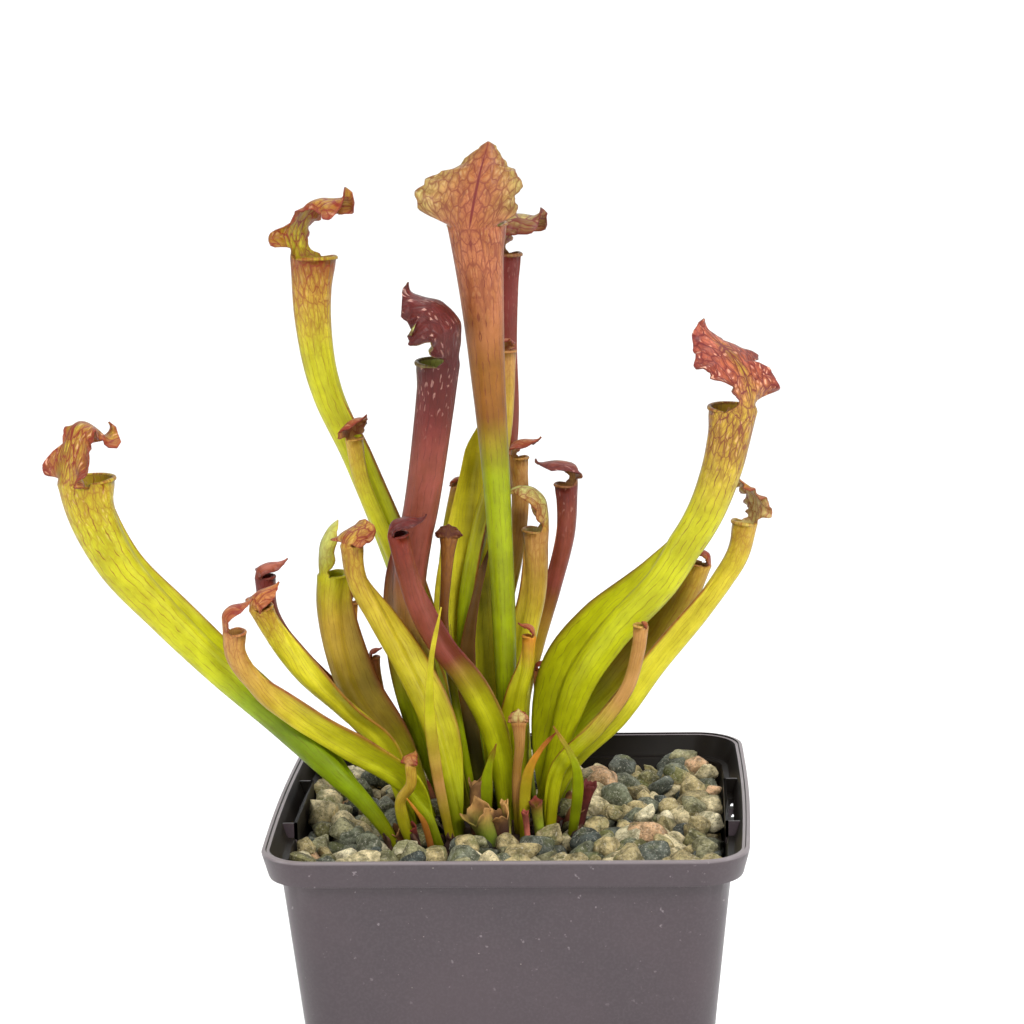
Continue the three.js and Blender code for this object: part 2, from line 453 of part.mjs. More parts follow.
function makePitcher(leaf, grow = 0) {
  const curve = courseCurve(leaf);
  const angles = leaf.large ? [0.12, 0.5, 1.15, 1.8, 2.47] : [0.12, 0.8, 1.8, 2.47];
  const columns = [...angles, Math.PI, ...angles.slice().reverse().map((angle) => -angle)];
  const rows = leaf.large ? 9 : 5;
  const hollowRows = leaf.large ? 4 : 1;
  const hoodRows = leaf.large ? 6 : 4;
  const count = columns.length;
  const points = [];
  const triangles = [];
  const quad = (a, b, c, d) => triangles.push([a, b, c], [a, c, d]);

  // Outside of the tube from the foot to the lip
  const place = (row) => (row / rows) ** 0.9;
  for (let row = 0; row <= rows; row += 1) {
    const axes = axesAt(curve, place(row), leaf.face);
    const radius = tubeRadius(leaf, place(row)) + grow;
    const flare = row === rows ? 1.12 : 1;
    columns.forEach((angle, k) => {
      const atFront = Math.abs(angle) < 1.5 ? flare : 1;
      const edge = k === 0 || k === count - 1;
      points.push(wallPoint(leaf, axes, place(row), angle, radius * atFront, edge));
    });
  }
  for (let row = 0; row < rows; row += 1) {
    for (let k = 0; k < count; k += 1) {
      const next = (k + 1) % count;
      quad(row * count + k, row * count + next, (row + 1) * count + next, (row + 1) * count + k);
    }
  }
  points.push(axesAt(curve, 0, leaf.face).point);
  const footPoint = points.length - 1;
  for (let k = 0; k < count; k += 1) triangles.push([footPoint, (k + 1) % count, k]);

  // Inside of the tube from the lip down to where it ends
  const lip = rows * count;
  const inner = points.length;
  for (let row = 0; row <= hollowRows; row += 1) {
    const at = place(rows - row);
    const axes = axesAt(curve, at, leaf.face);
    const radius = tubeRadius(leaf, at) - LEAF_WALL;
    axes.point.addScaledVector(axes.front, -0.5 * wingWidth(leaf, at));
    columns.forEach((angle) => {
      points.push(axes.point.clone()
        .addScaledVector(axes.front, radius * Math.cos(angle))
        .addScaledVector(axes.across, radius * Math.sin(angle)));
    });
  }
  for (let row = 0; row < hollowRows; row += 1) {
    for (let k = 0; k < count; k += 1) {
      const next = (k + 1) % count;
      const a = inner + row * count;
      quad(a + k, a + next, a + count + next, a + count + k);
    }
  }
  const innerEnd = inner + hollowRows * count;
  const endAxes = axesAt(curve, place(rows - hollowRows), leaf.face);
  endAxes.point.addScaledVector(endAxes.front, -0.5 * wingWidth(leaf, place(rows - hollowRows)));
  points.push(endAxes.point);
  const endPoint = points.length - 1;
  for (let k = 0; k < count; k += 1) triangles.push([endPoint, innerEnd + k, innerEnd + ((k + 1) % count)]);

  // Rear columns carry the hood, the others close the lip
  const first = angles.length - 2;
  const last = count - 1 - first;
  for (let k = 0; k < count; k += 1) {
    if (k >= first && k < last) continue;
    const next = (k + 1) % count;
    quad(lip + k, lip + next, inner + next, inner + k);
  }

  // Hood: middle surface first, then its two faces
  const top = axesAt(curve, 1, leaf.face);
  const radius = tubeRadius(leaf, 1) + grow;
  const [length, , neckLean, tipLean] = leaf.hood;
  const sway = Math.sin(THREE.MathUtils.degToRad(leaf.sway ?? 0));
  const sides = columns.slice(first, last + 1).map((angle) => {
    const fromRear = angle > 0 ? Math.PI - angle : -Math.PI - angle;
    return angle === Math.PI ? 0 : fromRear / REAR_ARC;
  });
  const middle = radius - LEAF_WALL / 2;
  const rib = { point: top.point.clone().addScaledVector(top.front, -middle), normal: null };
  const grid = [];
  for (let row = 0; row <= hoodRows; row += 1) {
    const share = row / hoodRows;
    const lean = THREE.MathUtils.degToRad(neckLean + (tipLean - neckLean) * share);
    const heading = top.along.clone().multiplyScalar(Math.cos(lean))
      .addScaledVector(top.front, Math.sin(lean));
    rib.normal = top.front.clone().multiplyScalar(Math.cos(lean))
      .addScaledVector(top.along, -Math.sin(lean));
    if (row > 0) {
      rib.point.addScaledVector(heading, length / hoodRows);
      rib.point.addScaledVector(top.across, sway * length / hoodRows);
    }
    grid.push(sides.map((side) => hoodPoint(leaf, top, middle, rib, share, side)));
  }
  const backStart = points.length;
  const faces = [1, -1].map(() => []);
  for (let row = 1; row <= hoodRows; row += 1) {
    for (let k = 0; k < sides.length; k += 1) {
      const before = grid[row - 1][k];
      const after = grid[Math.min(row + 1, hoodRows)][k];
      const left = grid[row][Math.max(k - 1, 0)];
      const right = grid[row][Math.min(k + 1, sides.length - 1)];
      const normal = new THREE.Vector3()
        .crossVectors(right.clone().sub(left), after.clone().sub(before)).normalize();
      faces[0].push(grid[row][k].clone().addScaledVector(normal, HOOD_THICKNESS / 2 + grow));
      faces[1].push(grid[row][k].clone().addScaledVector(normal, -HOOD_THICKNESS / 2 - grow));
    }
  }
  points.push(...faces[0], ...faces[1]);
  const frontStart = backStart + faces[0].length;
  const wide = sides.length;
  const back = (row, k) => (row === 0 ? lip + first + k : backStart + (row - 1) * wide + k);
  const front = (row, k) => (row === 0 ? inner + first + k : frontStart + (row - 1) * wide + k);
  for (let row = 0; row < hoodRows; row += 1) {
    for (let k = 0; k + 1 < wide; k += 1) {
      quad(back(row, k), back(row, k + 1), back(row + 1, k + 1), back(row + 1, k));
      triangles.push([front(row, k), front(row + 1, k + 1), front(row, k + 1)]);
      triangles.push([front(row, k), front(row + 1, k), front(row + 1, k + 1)]);
    }
    quad(back(row, 0), back(row + 1, 0), front(row + 1, 0), front(row, 0));
    quad(back(row + 1, wide - 1), back(row, wide - 1), front(row, wide - 1), front(row + 1, wide - 1));
  }
  for (let k = 0; k + 1 < wide; k += 1) {
    quad(back(hoodRows, k), back(hoodRows, k + 1), front(hoodRows, k + 1), front(hoodRows, k));
  }
  return solid(points, triangles);
}

function makeBlade(blade, grow = 0) {
  const curve = courseCurve(blade);
  const rows = 6;
  const rings = [];
  for (let row = 0; row <= rows; row += 1) {
    const place = row / rows;
    const axes = axesAt(curve, place, blade.face);
    const half = eased(place, [[0, 0.7 + blade.half * 0.3], [0.5, blade.half], [1, 0.5]]) + grow;
    const thick = eased(place, [[0, 0.9], [1, 0.4]]) + grow;
    rings.push([[half, 0], [half * 0.5, thick], [-half * 0.5, thick], [-half, 0],
      [-half * 0.5, -thick], [half * 0.5, -thick]].map(([across, front]) => axes.point.clone()
      .addScaledVector(axes.across, across).addScaledVector(axes.front, -front)));
  }
  return loft(rings);
}

// Rhizome with its roots and the stubs of old leaves

function lump(centre, size, seed, detail) {
  const geometry = new THREE.IcosahedronGeometry(1, detail);
  geometry.deleteAttribute('normal');
  geometry.deleteAttribute('uv');
  const ball = mergeVertices(geometry, 1e-4);
  const position = ball.attributes.position;
  const turn = new THREE.Euler(chance(seed, 4) * 6, chance(seed, 5) * 6, chance(seed, 6) * 6);
  for (let k = 0; k < position.count; k += 1) {
    const point = new THREE.Vector3().fromBufferAttribute(position, k).applyEuler(turn);
    point.multiplyScalar(0.88 + 0.26 * chance(seed * 31 + k, 7));
    point.multiply(size).add(centre);
    position.setXYZ(k, point.x, point.y, point.z);
  }
  return new wasm.Manifold(new wasm.Mesh({
    numProp: 3,
    vertProperties: position.array,
    triVerts: new Uint32Array(ball.index.array),
  }));
}

// A round stem that narrows along its curve
function stem(curve, faceDegrees, startRadius, endRadius, rows, sides) {
  const rings = [];
  for (let row = 0; row <= rows; row += 1) {
    const axes = axesAt(curve, row / rows, faceDegrees);
    const radius = startRadius + (endRadius - startRadius) * (row / rows);
    const ring = [];
    for (let side = 0; side < sides; side += 1) {
      const angle = side * 2 * Math.PI / sides;
      ring.push(axes.point.clone().addScaledVector(axes.front, radius * Math.cos(angle))
        .addScaledVector(axes.across, radius * Math.sin(angle)));
    }
    rings.push(ring);
  }
  return loft(rings);
}

function makeCrown() {
  let crown = lump(CROWN, CROWN_SIZE, 900, 1);
  STUBS.forEach(({ foot, tip, radius }) => {
    const start = new THREE.Vector3(foot[0], foot[1], FOOT_DEPTH);
    const end = new THREE.Vector3(...tip);
    const middle = start.clone().lerp(end, 0.5).setZ(start.z + 0.6 * (end.z - start.z));
    const curve = new THREE.CatmullRomCurve3([start, middle, end], false, 'centripetal');
    const cup = new THREE.CatmullRomCurve3([middle, end, end.clone().setZ(end.z + 2)], false, 'centripetal');
    const stub = stem(curve, 0, radius * 0.7, radius, 3, 7);
    crown = crown.add(stub.subtract(stem(cup, 0, radius * 0.3, radius * 0.75, 2, 7)));
  });
  for (let k = 0; k < ROOTS; k += 1) {
    const turn = (k + 0.4 * chance(k, 20)) * 2 * Math.PI / ROOTS;
    const outward = new THREE.Vector3(Math.cos(turn), Math.sin(turn), 0);
    const start = CROWN.clone().addScaledVector(outward, 9);
    const bend = start.clone().addScaledVector(outward, 10).setZ(78);
    const end = start.clone().addScaledVector(outward, 12 + 8 * chance(k, 21)).setZ(34 + 24 * chance(k, 22));
    const curve = new THREE.CatmullRomCurve3([start, bend, end], false, 'centripetal');
    crown = crown.add(stem(curve, THREE.MathUtils.radToDeg(turn), 1.8, 0.7, 4, 6));
  }
  return crown;
}

// Growing medium and gravel

function fill(low, high) {
  return loft([
    roundedSquare(innerHalf(low) - CLEARANCE, low, CORNER_RADIUS - 1.4),
    roundedSquare(innerHalf(high) - CLEARANCE, high, CORNER_RADIUS - 1.2),
  ]);
}

function makeGravel() {
  const half = innerHalf(SLAB_TOP) - CLEARANCE;
  const step = (2 * half - 1.4 * STONE_RADIUS) / (STONES_ACROSS - 1);
  let gravel = fill(SOIL_TOP + CLEARANCE, SLAB_TOP);
  const stones = [];
  for (let row = 0; row < STONES_ACROSS; row += 1) {
    for (let column = 0; column < STONES_ACROSS; column += 1) {
      const seed = row * STONES_ACROSS + column;
      const x = (column - (STONES_ACROSS - 1) / 2) * step + 1.8 * (chance(seed, 1) - 0.5);
      const y = (row - (STONES_ACROSS - 1) / 2) * step + 1.8 * (chance(seed, 2) - 0.5);
      const fromMiddle = Math.min(Math.hypot(x, y) / half, 1);
      const z = SLAB_TOP + 1.6 - EDGE_DROP * fromMiddle ** 2 + 1.4 * (chance(seed, 3) - 0.5);
      const radius = STONE_RADIUS * (0.85 + 0.35 * chance(seed, 8));
      const size = new THREE.Vector3(radius, radius * (0.8 + 0.3 * chance(seed, 9)), radius * 0.72);
      stones.push(lump(new THREE.Vector3(x, y, z), size, seed, 0));
    }
  }
  gravel = wasm.Manifold.union([gravel, ...stones]);
  const limit = fill(SOIL_TOP + CLEARANCE, POT_HEIGHT);
  return gravel.intersect(limit);
}

// Assembly. Where a later leaf would touch an earlier one it is cut back to the
// clearance, and the rhizome, gravel and medium have a plain hole for each stem.

function assemble() {
  const plant = new THREE.Group();
  const grown = [];
  const leaves = [];
  const build = (leaf, make) => {
    let body = make(leaf);
    const reach = body.boundingBox();
    grown.forEach((other) => {
      const near = [0, 1, 2].every((axis) => other.low[axis] < reach.max[axis]
        && other.high[axis] > reach.min[axis]);
      if (near) body = body.subtract(other.body);
    });
    body = largestBody(body);
    const around = make(leaf, CLEARANCE);
    const limits = around.boundingBox();
    grown.push({ body: around, low: limits.min, high: limits.max });
    leaves.push({ leaf, body });
  };
  PITCHERS.forEach((leaf) => build(leaf, makePitcher));
  BLADES.forEach((leaf) => build(leaf, makeBlade));
  const stems = wasm.Manifold.union(grown.map((entry) => entry.body));

  const pot = makePot();
  const crownWhole = makeCrown();
  const crown = largestBody(crownWhole.subtract(stems));
  const soil = largestBody(fill(FOOT_LIFT + FLOOR + CLEARANCE, SOIL_TOP).subtract(crownWhole));
  const gravel = largestBody(makeGravel().subtract(stems).subtract(crownWhole));

  plant.add(meshOf('pot', pot, 'pot', 0.5));
  plant.add(meshOf('growing_medium', soil, 'soil', 0.95));
  plant.add(meshOf('gravel', gravel, 'gravel', 0.9));
  plant.add(meshOf('rhizome', crown, 'crown', 0.85));
  leaves.forEach(({ leaf, body }) => plant.add(meshOf(leaf.name, body, leaf.colour, 0.45)));
  return plant;
}

export default assemble();
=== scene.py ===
# %% [markdown]
# # A potted pitcher plant
#
# This notebook dresses the construction model of a potted pitcher plant. The model gives the
# place and size of every piece. Here each leaf gets its thin rolled lip, its ruffled hood and
# its veins, the pot gets its moulded edges and fine scratches, and the gravel becomes loose
# stones. Lengths are in millimetres until a mesh is made, and Blender then gets metres.

# %% Load the construction model
import json
import math

import bmesh
import bpy
import numpy as np
from mathutils import Matrix, Vector

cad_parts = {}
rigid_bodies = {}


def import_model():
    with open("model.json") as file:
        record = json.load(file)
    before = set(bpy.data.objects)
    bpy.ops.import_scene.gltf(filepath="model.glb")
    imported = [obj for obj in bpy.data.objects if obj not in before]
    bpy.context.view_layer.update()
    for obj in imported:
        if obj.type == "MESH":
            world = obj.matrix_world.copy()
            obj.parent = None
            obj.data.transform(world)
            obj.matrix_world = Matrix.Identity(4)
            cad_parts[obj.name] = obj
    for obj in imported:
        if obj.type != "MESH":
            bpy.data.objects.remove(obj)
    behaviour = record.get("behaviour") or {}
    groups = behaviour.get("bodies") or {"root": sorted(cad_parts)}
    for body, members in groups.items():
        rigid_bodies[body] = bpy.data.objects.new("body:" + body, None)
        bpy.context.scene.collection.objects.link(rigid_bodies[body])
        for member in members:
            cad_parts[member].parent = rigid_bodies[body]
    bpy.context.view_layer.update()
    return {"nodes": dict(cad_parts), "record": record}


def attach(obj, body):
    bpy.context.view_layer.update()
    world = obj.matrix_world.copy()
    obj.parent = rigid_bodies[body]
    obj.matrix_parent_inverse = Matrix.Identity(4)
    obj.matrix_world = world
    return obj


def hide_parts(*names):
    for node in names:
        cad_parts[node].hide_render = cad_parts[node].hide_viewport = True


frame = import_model()
slot_of = {part["node"]: part["material_slot"] for part in frame["record"]["subparts"]}
MM = 0.001

# %% [markdown]
# ## The camera
#
# The camera looks down on the plant by eleven degrees with a long lens, a little from the right.
# Its place and turn were worked out from the four corners of the pot's rim. A camera can be
# aimed with a constraint, but a matrix built from three plain angles stays exact.

# %% Camera
CAMERA_PLACE = Vector((44.3, -829.2, 355.7)) * MM
CAMERA_YAW = math.radians(2.992)
CAMERA_PITCH = math.radians(11.3)
CAMERA_ROLL = math.radians(-1.157)
SENSOR_WIDTH = 36.0
LENS = 116.0


def camera_turn(yaw, pitch, roll):
    """The camera's own axes as a rotation matrix: right, up and backwards."""
    ahead = Vector((-math.sin(yaw) * math.cos(pitch), math.cos(yaw) * math.cos(pitch), -math.sin(pitch)))
    level = Vector((math.cos(yaw), math.sin(yaw), 0))
    upright = level.cross(ahead)
    right = math.cos(roll) * level + math.sin(roll) * upright
    up = math.cos(roll) * upright - math.sin(roll) * level
    return Matrix((right, up, -ahead)).transposed()


def make_camera():
    data = bpy.data.cameras.new("camera")
    data.sensor_width = SENSOR_WIDTH
    data.lens = LENS
    camera = bpy.data.objects.new("camera", data)
    turn = camera_turn(CAMERA_YAW, CAMERA_PITCH, CAMERA_ROLL)
    camera.matrix_world = Matrix.Translation(CAMERA_PLACE) @ turn.to_4x4()
    bpy.context.scene.collection.objects.link(camera)
    bpy.context.scene.camera = camera


make_camera()
print("camera with a lens of", LENS, "mm")

# %% [markdown]
# ## Floor and light
#
# A pale sweep stands under and behind the plant, so that the horizon never shows. Two tall soft
# lights at the sides draw the upright highlights on the pot's front corners. A smaller light
# high on the right gives the leaves their direction and their shadows, a broad one in front
# fills in, and a panel overhead whitens the sweep. The plain view transform keeps the leaves'
# full colour, which the default one would fade.

# %% Floor
FLOOR_COLOUR = (0.94, 0.94, 0.94, 1)


def plain_material(name, colour, roughness):
    material = bpy.data.materials.new(name)
    material.use_nodes = True
    shader = material.node_tree.nodes["Principled BSDF"]
    shader.inputs["Base Color"].default_value = colour
    shader.inputs["Roughness"].default_value = roughness
    return material


def make_floor():
    """A floor that curves up into a back wall, as one sheet."""
    half_width, front, back, rise, bend = 6.0, -4.0, 3.0, 3.5, 1.0
    profile = [(front, 0.0), (back - bend, 0.0)]
    for step in range(1, 13):
        turn = step / 12 * math.pi / 2
        profile.append((back - bend + bend * math.sin(turn), bend - bend * math.cos(turn)))
    profile.append((back, rise))
    points = [(side * half_width, y, z) for y, z in profile for side in (-1, 1)]
    faces = [(2 * k, 2 * k + 1, 2 * k + 3, 2 * k + 2) for k in range(len(profile) - 1)]
    mesh = bpy.data.meshes.new("floor")
    mesh.from_pydata(points, [], faces)
    mesh.materials.append(plain_material("pale_floor", FLOOR_COLOUR, 0.95))
    for face in mesh.polygons:
        face.use_smooth = True
    floor = bpy.data.objects.new("floor", mesh)
    bpy.context.scene.collection.objects.link(floor)


make_floor()

# %% Lights
AIM = Vector((0, 0, 0.14))
LIGHTS = [
    # name, place in metres, width, height, watts
    ("side_left", (-1.15, -0.35, 0.5), 0.18, 1.1, 8),
    ("side_right", (1.15, -0.35, 0.5), 0.18, 1.1, 8),
    ("key", (0.5, -1.2, 1.25), 0.4, 0.4, 22),
    ("front", (-0.45, -1.6, 0.7), 0.9, 0.9, 8),
    ("overhead", (0, 1.5, 2.3), 3.6, 3.4, 72),
]


def make_lights():
    for name, place, width, height, watts in LIGHTS:
        data = bpy.data.lights.new(name, "AREA")
        data.shape = "RECTANGLE"
        data.size = width
        data.size_y = height
        data.energy = watts
        light = bpy.data.objects.new(name, data)
        light.location = place
        aim = Vector((0, 1.2, 0)) if name == "overhead" else AIM
        light.rotation_euler = (aim - Vector(place)).to_track_quat("-Z", "Y").to_euler()
        bpy.context.scene.collection.objects.link(light)


def make_sky():
    world = bpy.data.worlds.new("sky")
    world.use_nodes = True
    world.node_tree.nodes["Background"].inputs["Color"].default_value = (1, 1, 1, 1)
    world.node_tree.nodes["Background"].inputs["Strength"].default_value = 0.17
    bpy.context.scene.world = world


make_lights()
make_sky()
print("lights:", len(LIGHTS))
bpy.context.scene.view_settings.view_transform = "Standard"

# %% [markdown]
# ## Small tools for meshes
#
# Every piece is built as points and faces with NumPy, because a leaf is one formula evaluated on
# a grid. A float or colour that belongs to a point is stored with the mesh as an attribute, and
# the materials read it there.

# %% Mesh tools
def smooth(value):
    """Eases from 0 to 1, flat at both ends."""
    t = np.clip(value, 0.0, 1.0)
    return t * t * (3 - 2 * t)


def eased(place, pairs):
    """Values between the listed (place, value) pairs, eased at each pair."""
    place = np.asarray(place, float)
    places = np.array([pair[0] for pair in pairs], float)
    values = np.array([pair[1] for pair in pairs], float)
    k = np.clip(np.searchsorted(places, place, side="left") - 1, 0, len(pairs) - 2)
    span = places[k + 1] - places[k]
    return values[k] + (values[k + 1] - values[k]) * smooth((place - places[k]) / span)


def linear(hex_code):
    """A colour as written on screen, turned into the linear values that Blender mixes."""
    parts = np.array([int(hex_code[k : k + 2], 16) / 255 for k in (0, 2, 4)])
    return np.where(parts <= 0.04045, parts / 12.92, ((parts + 0.055) / 1.055) ** 2.4)


def signed_volume(points, triangles):
    a, b, c = (points[triangles[:, k]] for k in range(3))
    return float(np.einsum("ij,ij->i", a, np.cross(b, c)).sum() / 6)


def make_object(name, points, faces, material, attributes=None):
    """Makes an object from points in millimetres. A shell that came out inside out is turned."""
    mesh = bpy.data.meshes.new(name)
    mesh.from_pydata((np.asarray(points, float) * MM).tolist(), [], [list(map(int, f)) for f in faces])
    mesh.update()
    mesh.calc_loop_triangles()
    corners = np.zeros(len(mesh.loop_triangles) * 3, np.int32)
    mesh.loop_triangles.foreach_get("vertices", corners)
    volume = signed_volume(np.asarray(points, float), corners.reshape(-1, 3))
    if volume < 0:
        mesh.flip_normals()
    for label, values in (attributes or {}).items():
        values = np.asarray(values, np.float32)
        kind = {1: "FLOAT", 3: "FLOAT_VECTOR", 4: "FLOAT_COLOR"}[1 if values.ndim == 1 else values.shape[1]]
        field = {"FLOAT": "value", "FLOAT_VECTOR": "vector", "FLOAT_COLOR": "color"}[kind]
        mesh.attributes.new(label, kind, "POINT").data.foreach_set(field, values.ravel())
    mesh.polygons.foreach_set("use_smooth", np.ones(len(mesh.polygons), bool))
    mesh.materials.append(material)
    made = bpy.data.objects.new(name, mesh)
    bpy.context.scene.collection.objects.link(made)
    return made


def hand_over(piece, node, body="root"):
    """The piece rides on its body, and the node of the model that it replaces is hidden."""
    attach(piece, body)
    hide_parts(node)

# %% [markdown]
# ## Small tools for shaders
#
# A material is a tree of nodes. These helpers keep each line of a tree short: one adds a node and
# sets its values, and one does a piece of arithmetic. Effects that several materials share are
# node groups, which put out masks and colours, and the Principled shader stays in the material.

# %% Shader tools
def feed(tree, made, values):
    """Sets inputs of a node, each to a value or to a link."""
    for key, value in values.items():
        if isinstance(value, bpy.types.NodeSocket):
            tree.links.new(value, made.inputs[key])
        else:
            made.inputs[key].default_value = value


def node(tree, kind, values=None, **settings):
    """Adds a node, sets its properties and then its inputs."""
    made = tree.nodes.new(kind)
    for key, value in settings.items():
        setattr(made, key, value)
    feed(tree, made, values or {})
    return made


def maths(tree, operation, a, b=0.0, clamp=False):
    return node(tree, "ShaderNodeMath", {0: a, 1: b}, operation=operation, use_clamp=clamp).outputs[0]


def times(tree, a, b, clamp=False):
    return maths(tree, "MULTIPLY", a, b, clamp)


def vector_maths(tree, operation, a, b):
    return node(tree, "ShaderNodeVectorMath", {0: a, 1: b}, operation=operation).outputs


def split(tree, vector):
    return node(tree, "ShaderNodeSeparateXYZ", {0: vector}).outputs


def ramp(tree, value, low, high):
    """0 where the value is at low, 1 where it is at high, eased between them."""
    values = {"Value": value, "From Min": low, "From Max": high}
    return node(tree, "ShaderNodeMapRange", values, interpolation_type="SMOOTHSTEP").outputs["Result"]


def noise(tree, where, scale, detail, roughness=0.5):
    values = {"Vector": where, "Scale": scale, "Detail": detail, "Roughness": roughness}
    return node(tree, "ShaderNodeTexNoise", values).outputs["Fac"]


def blend(tree, share, a, b, mode="MIX"):
    return node(tree, "ShaderNodeMix", {0: share, 6: a, 7: b}, data_type="RGBA", blend_type=mode).outputs[2]


def toned(tree, share, base, factors):
    """The base with its red, green and blue multiplied by the factors, as far as the share says."""
    return blend(tree, share, base, (*factors, 1.0), "MULTIPLY")


def rgba(hex_code):
    return (*linear(hex_code), 1.0)


def read(tree, label, output="Fac"):
    return node(tree, "ShaderNodeAttribute", attribute_name=label).outputs[output]


def own_place(tree):
    """The point's place in the piece's own frame, in metres."""
    return node(tree, "ShaderNodeTexCoord").outputs["Object"]


def new_material(name):
    material = bpy.data.materials.new(name)
    material.use_nodes = True
    return material, material.node_tree, material.node_tree.nodes["Principled BSDF"]


def bump(tree, height, strength, distance):
    """A normal from a height. The distance is in millimetres."""
    values = {"Height": height, "Strength": strength, "Distance": distance * MM}
    return node(tree, "ShaderNodeBump", values).outputs["Normal"]

# %% Group: veins
FLOAT, VECTOR, SOLID = "NodeSocketFloat", "NodeSocketVector", "NodeSocketGeometry"


def new_group(name, kind, inputs, outputs):
    """A node group. An input is a label, a kind of socket and a value, an output a label and a kind."""
    group = bpy.data.node_groups.new(name, kind)
    for label, socket_kind, value in inputs:
        socket = group.interface.new_socket(label, in_out="INPUT", socket_type=socket_kind)
        if value is not None:
            socket.default_value = value
    for label, socket_kind in outputs:
        group.interface.new_socket(label, in_out="OUTPUT", socket_type=socket_kind)
    return group, group.nodes.new("NodeGroupInput").outputs, group.nodes.new("NodeGroupOutput")


def cell_gap(tree, where, scale):
    """The distance from a point to the nearest edge between two cells."""
    return node(tree, "ShaderNodeTexVoronoi", {"Vector": where, "Scale": scale},
                feature="DISTANCE_TO_EDGE").outputs["Distance"]


FINE_CELLS = 2.1         # how many fine cells fit along one coarse cell


def vein_group():
    """Long veins that run up the leaf, and the net between them.

    Place holds the way round the leaf (0 at its back, 1 at its wing), the way up in centimetres
    and the midrib's strength. Skin holds the ways round and up in millimetres.
    """
    group, given, result = new_group(
        "leaf_veins", "ShaderNodeTree",
        [("Place", VECTOR, None), ("Skin", VECTOR, None), ("Count", FLOAT, 10.0), ("Cell", FLOAT, 1.6),
         ("Stretch", FLOAT, 2.4)],
        [(label, FLOAT) for label in ("Lines", "Net", "Mesh", "Bulge", "Pane")])
    wander = maths(group, "SUBTRACT", noise(group, given["Skin"], 0.22, 2.0), 0.5)
    across = split(group, given["Place"])["X"]
    lane = maths(group, "ADD", times(group, across, given["Count"]), times(group, wander, 1.2))
    line = ramp(group, maths(group, "PINGPONG", lane, 0.5), 0.08, 0.02)
    strength = ramp(group, noise(group, given["Skin"], 0.35, 1.0), 0.3, 0.6)

    skin = split(group, given["Skin"])
    tall = maths(group, "DIVIDE", skin["Y"], given["Stretch"])
    flat = node(group, "ShaderNodeCombineXYZ", {"X": skin["X"], "Y": tall, "Z": skin["Z"]}).outputs[0]
    push = node(group, "ShaderNodeTexNoise", {"Vector": flat, "Scale": 0.5, "Detail": 2.0}).outputs["Color"]
    warped = vector_maths(group, "ADD", flat, vector_maths(group, "MULTIPLY", push, (1.6, 1.6, 0.0))[0])[0]
    size = maths(group, "DIVIDE", 1.0, given["Cell"])
    fine_size = times(group, size, FINE_CELLS)
    coarse = cell_gap(group, warped, size)
    fine = cell_gap(group, warped, fine_size)
    cell = node(group, "ShaderNodeTexVoronoi", {"Vector": warped, "Scale": fine_size}).outputs["Color"]
    lit = ramp(group, node(group, "ShaderNodeSeparateColor", {0: cell}).outputs[0], 0.42, 0.55)
    feed(group, result, {
        "Lines": times(group, line, strength), "Net": ramp(group, coarse, 0.075, 0.02),
        "Mesh": ramp(group, fine, 0.13, 0.03), "Bulge": ramp(group, coarse, 0.05, 0.3),
        "Pane": times(group, ramp(group, fine, 0.2, 0.32), lit)})
    return group


VEINS = vein_group()
print("group:", VEINS.name, "with", len(VEINS.nodes), "nodes")

# %% Group: speckle
def speckle_group():
    """Small specks at chosen density, from cells that are switched on by chance."""
    group, given, result = new_group(
        "speckle", "ShaderNodeTree",
        [("Vector", VECTOR, None), ("Size", FLOAT, 1.0), ("Density", FLOAT, 0.2), ("Radius", FLOAT, 0.3)],
        [("Mask", FLOAT)])
    scale = maths(group, "DIVIDE", 1.0, times(group, given["Size"], MM))
    cell = node(group, "ShaderNodeTexVoronoi", {"Vector": given["Vector"], "Scale": scale}).outputs
    chance = node(group, "ShaderNodeSeparateColor", {0: cell["Color"]}).outputs[0]
    chosen = maths(group, "LESS_THAN", chance, given["Density"])
    near = ramp(group, cell["Distance"], given["Radius"], times(group, given["Radius"], 0.6))
    feed(group, result, {"Mask": times(group, chosen, near)})
    return group


SPECKLE = speckle_group()
print("group:", SPECKLE.name, "with", len(SPECKLE.nodes), "nodes")


def use_group(tree, group, values):
    return node(tree, "ShaderNodeGroup", values, node_tree=group).outputs

# %% [markdown]
# ## The leaves' finish
#
# A pitcher's skin is a waxy, slightly see-through tissue. Its ground colour runs from green at
# the foot to yellow, copper or maroon at the mouth, and red veins run up it and join in a net on
# the hood, with pale panes between them. The ground, the vein colour and the strength of each
# mark are stored on the mesh, so one tree serves every leaf. Each slot has its own pane colour.

# %% Leaf material
PANE_COLOUR = {
    "leaf_lime": "e6b094",
    "leaf_olive": "d8cf86",
    "leaf_yellow": "ecc28a",
    "leaf_copper": "ead9a2",
    "leaf_maroon": "e9b7a6",
    "leaf_red": "d99a84",
    "leaf_green": "c6d25e",
    "leaf_amber": "dfb27c",
}
LEAF_ROUGHNESS = 0.34
# A leaf's foot is painted darker near the gravel: painted shade where the leaves crowd together.
FOOT_SHADE = (0.124, 0.107)     # heights in metres between which a leaf's foot darkens


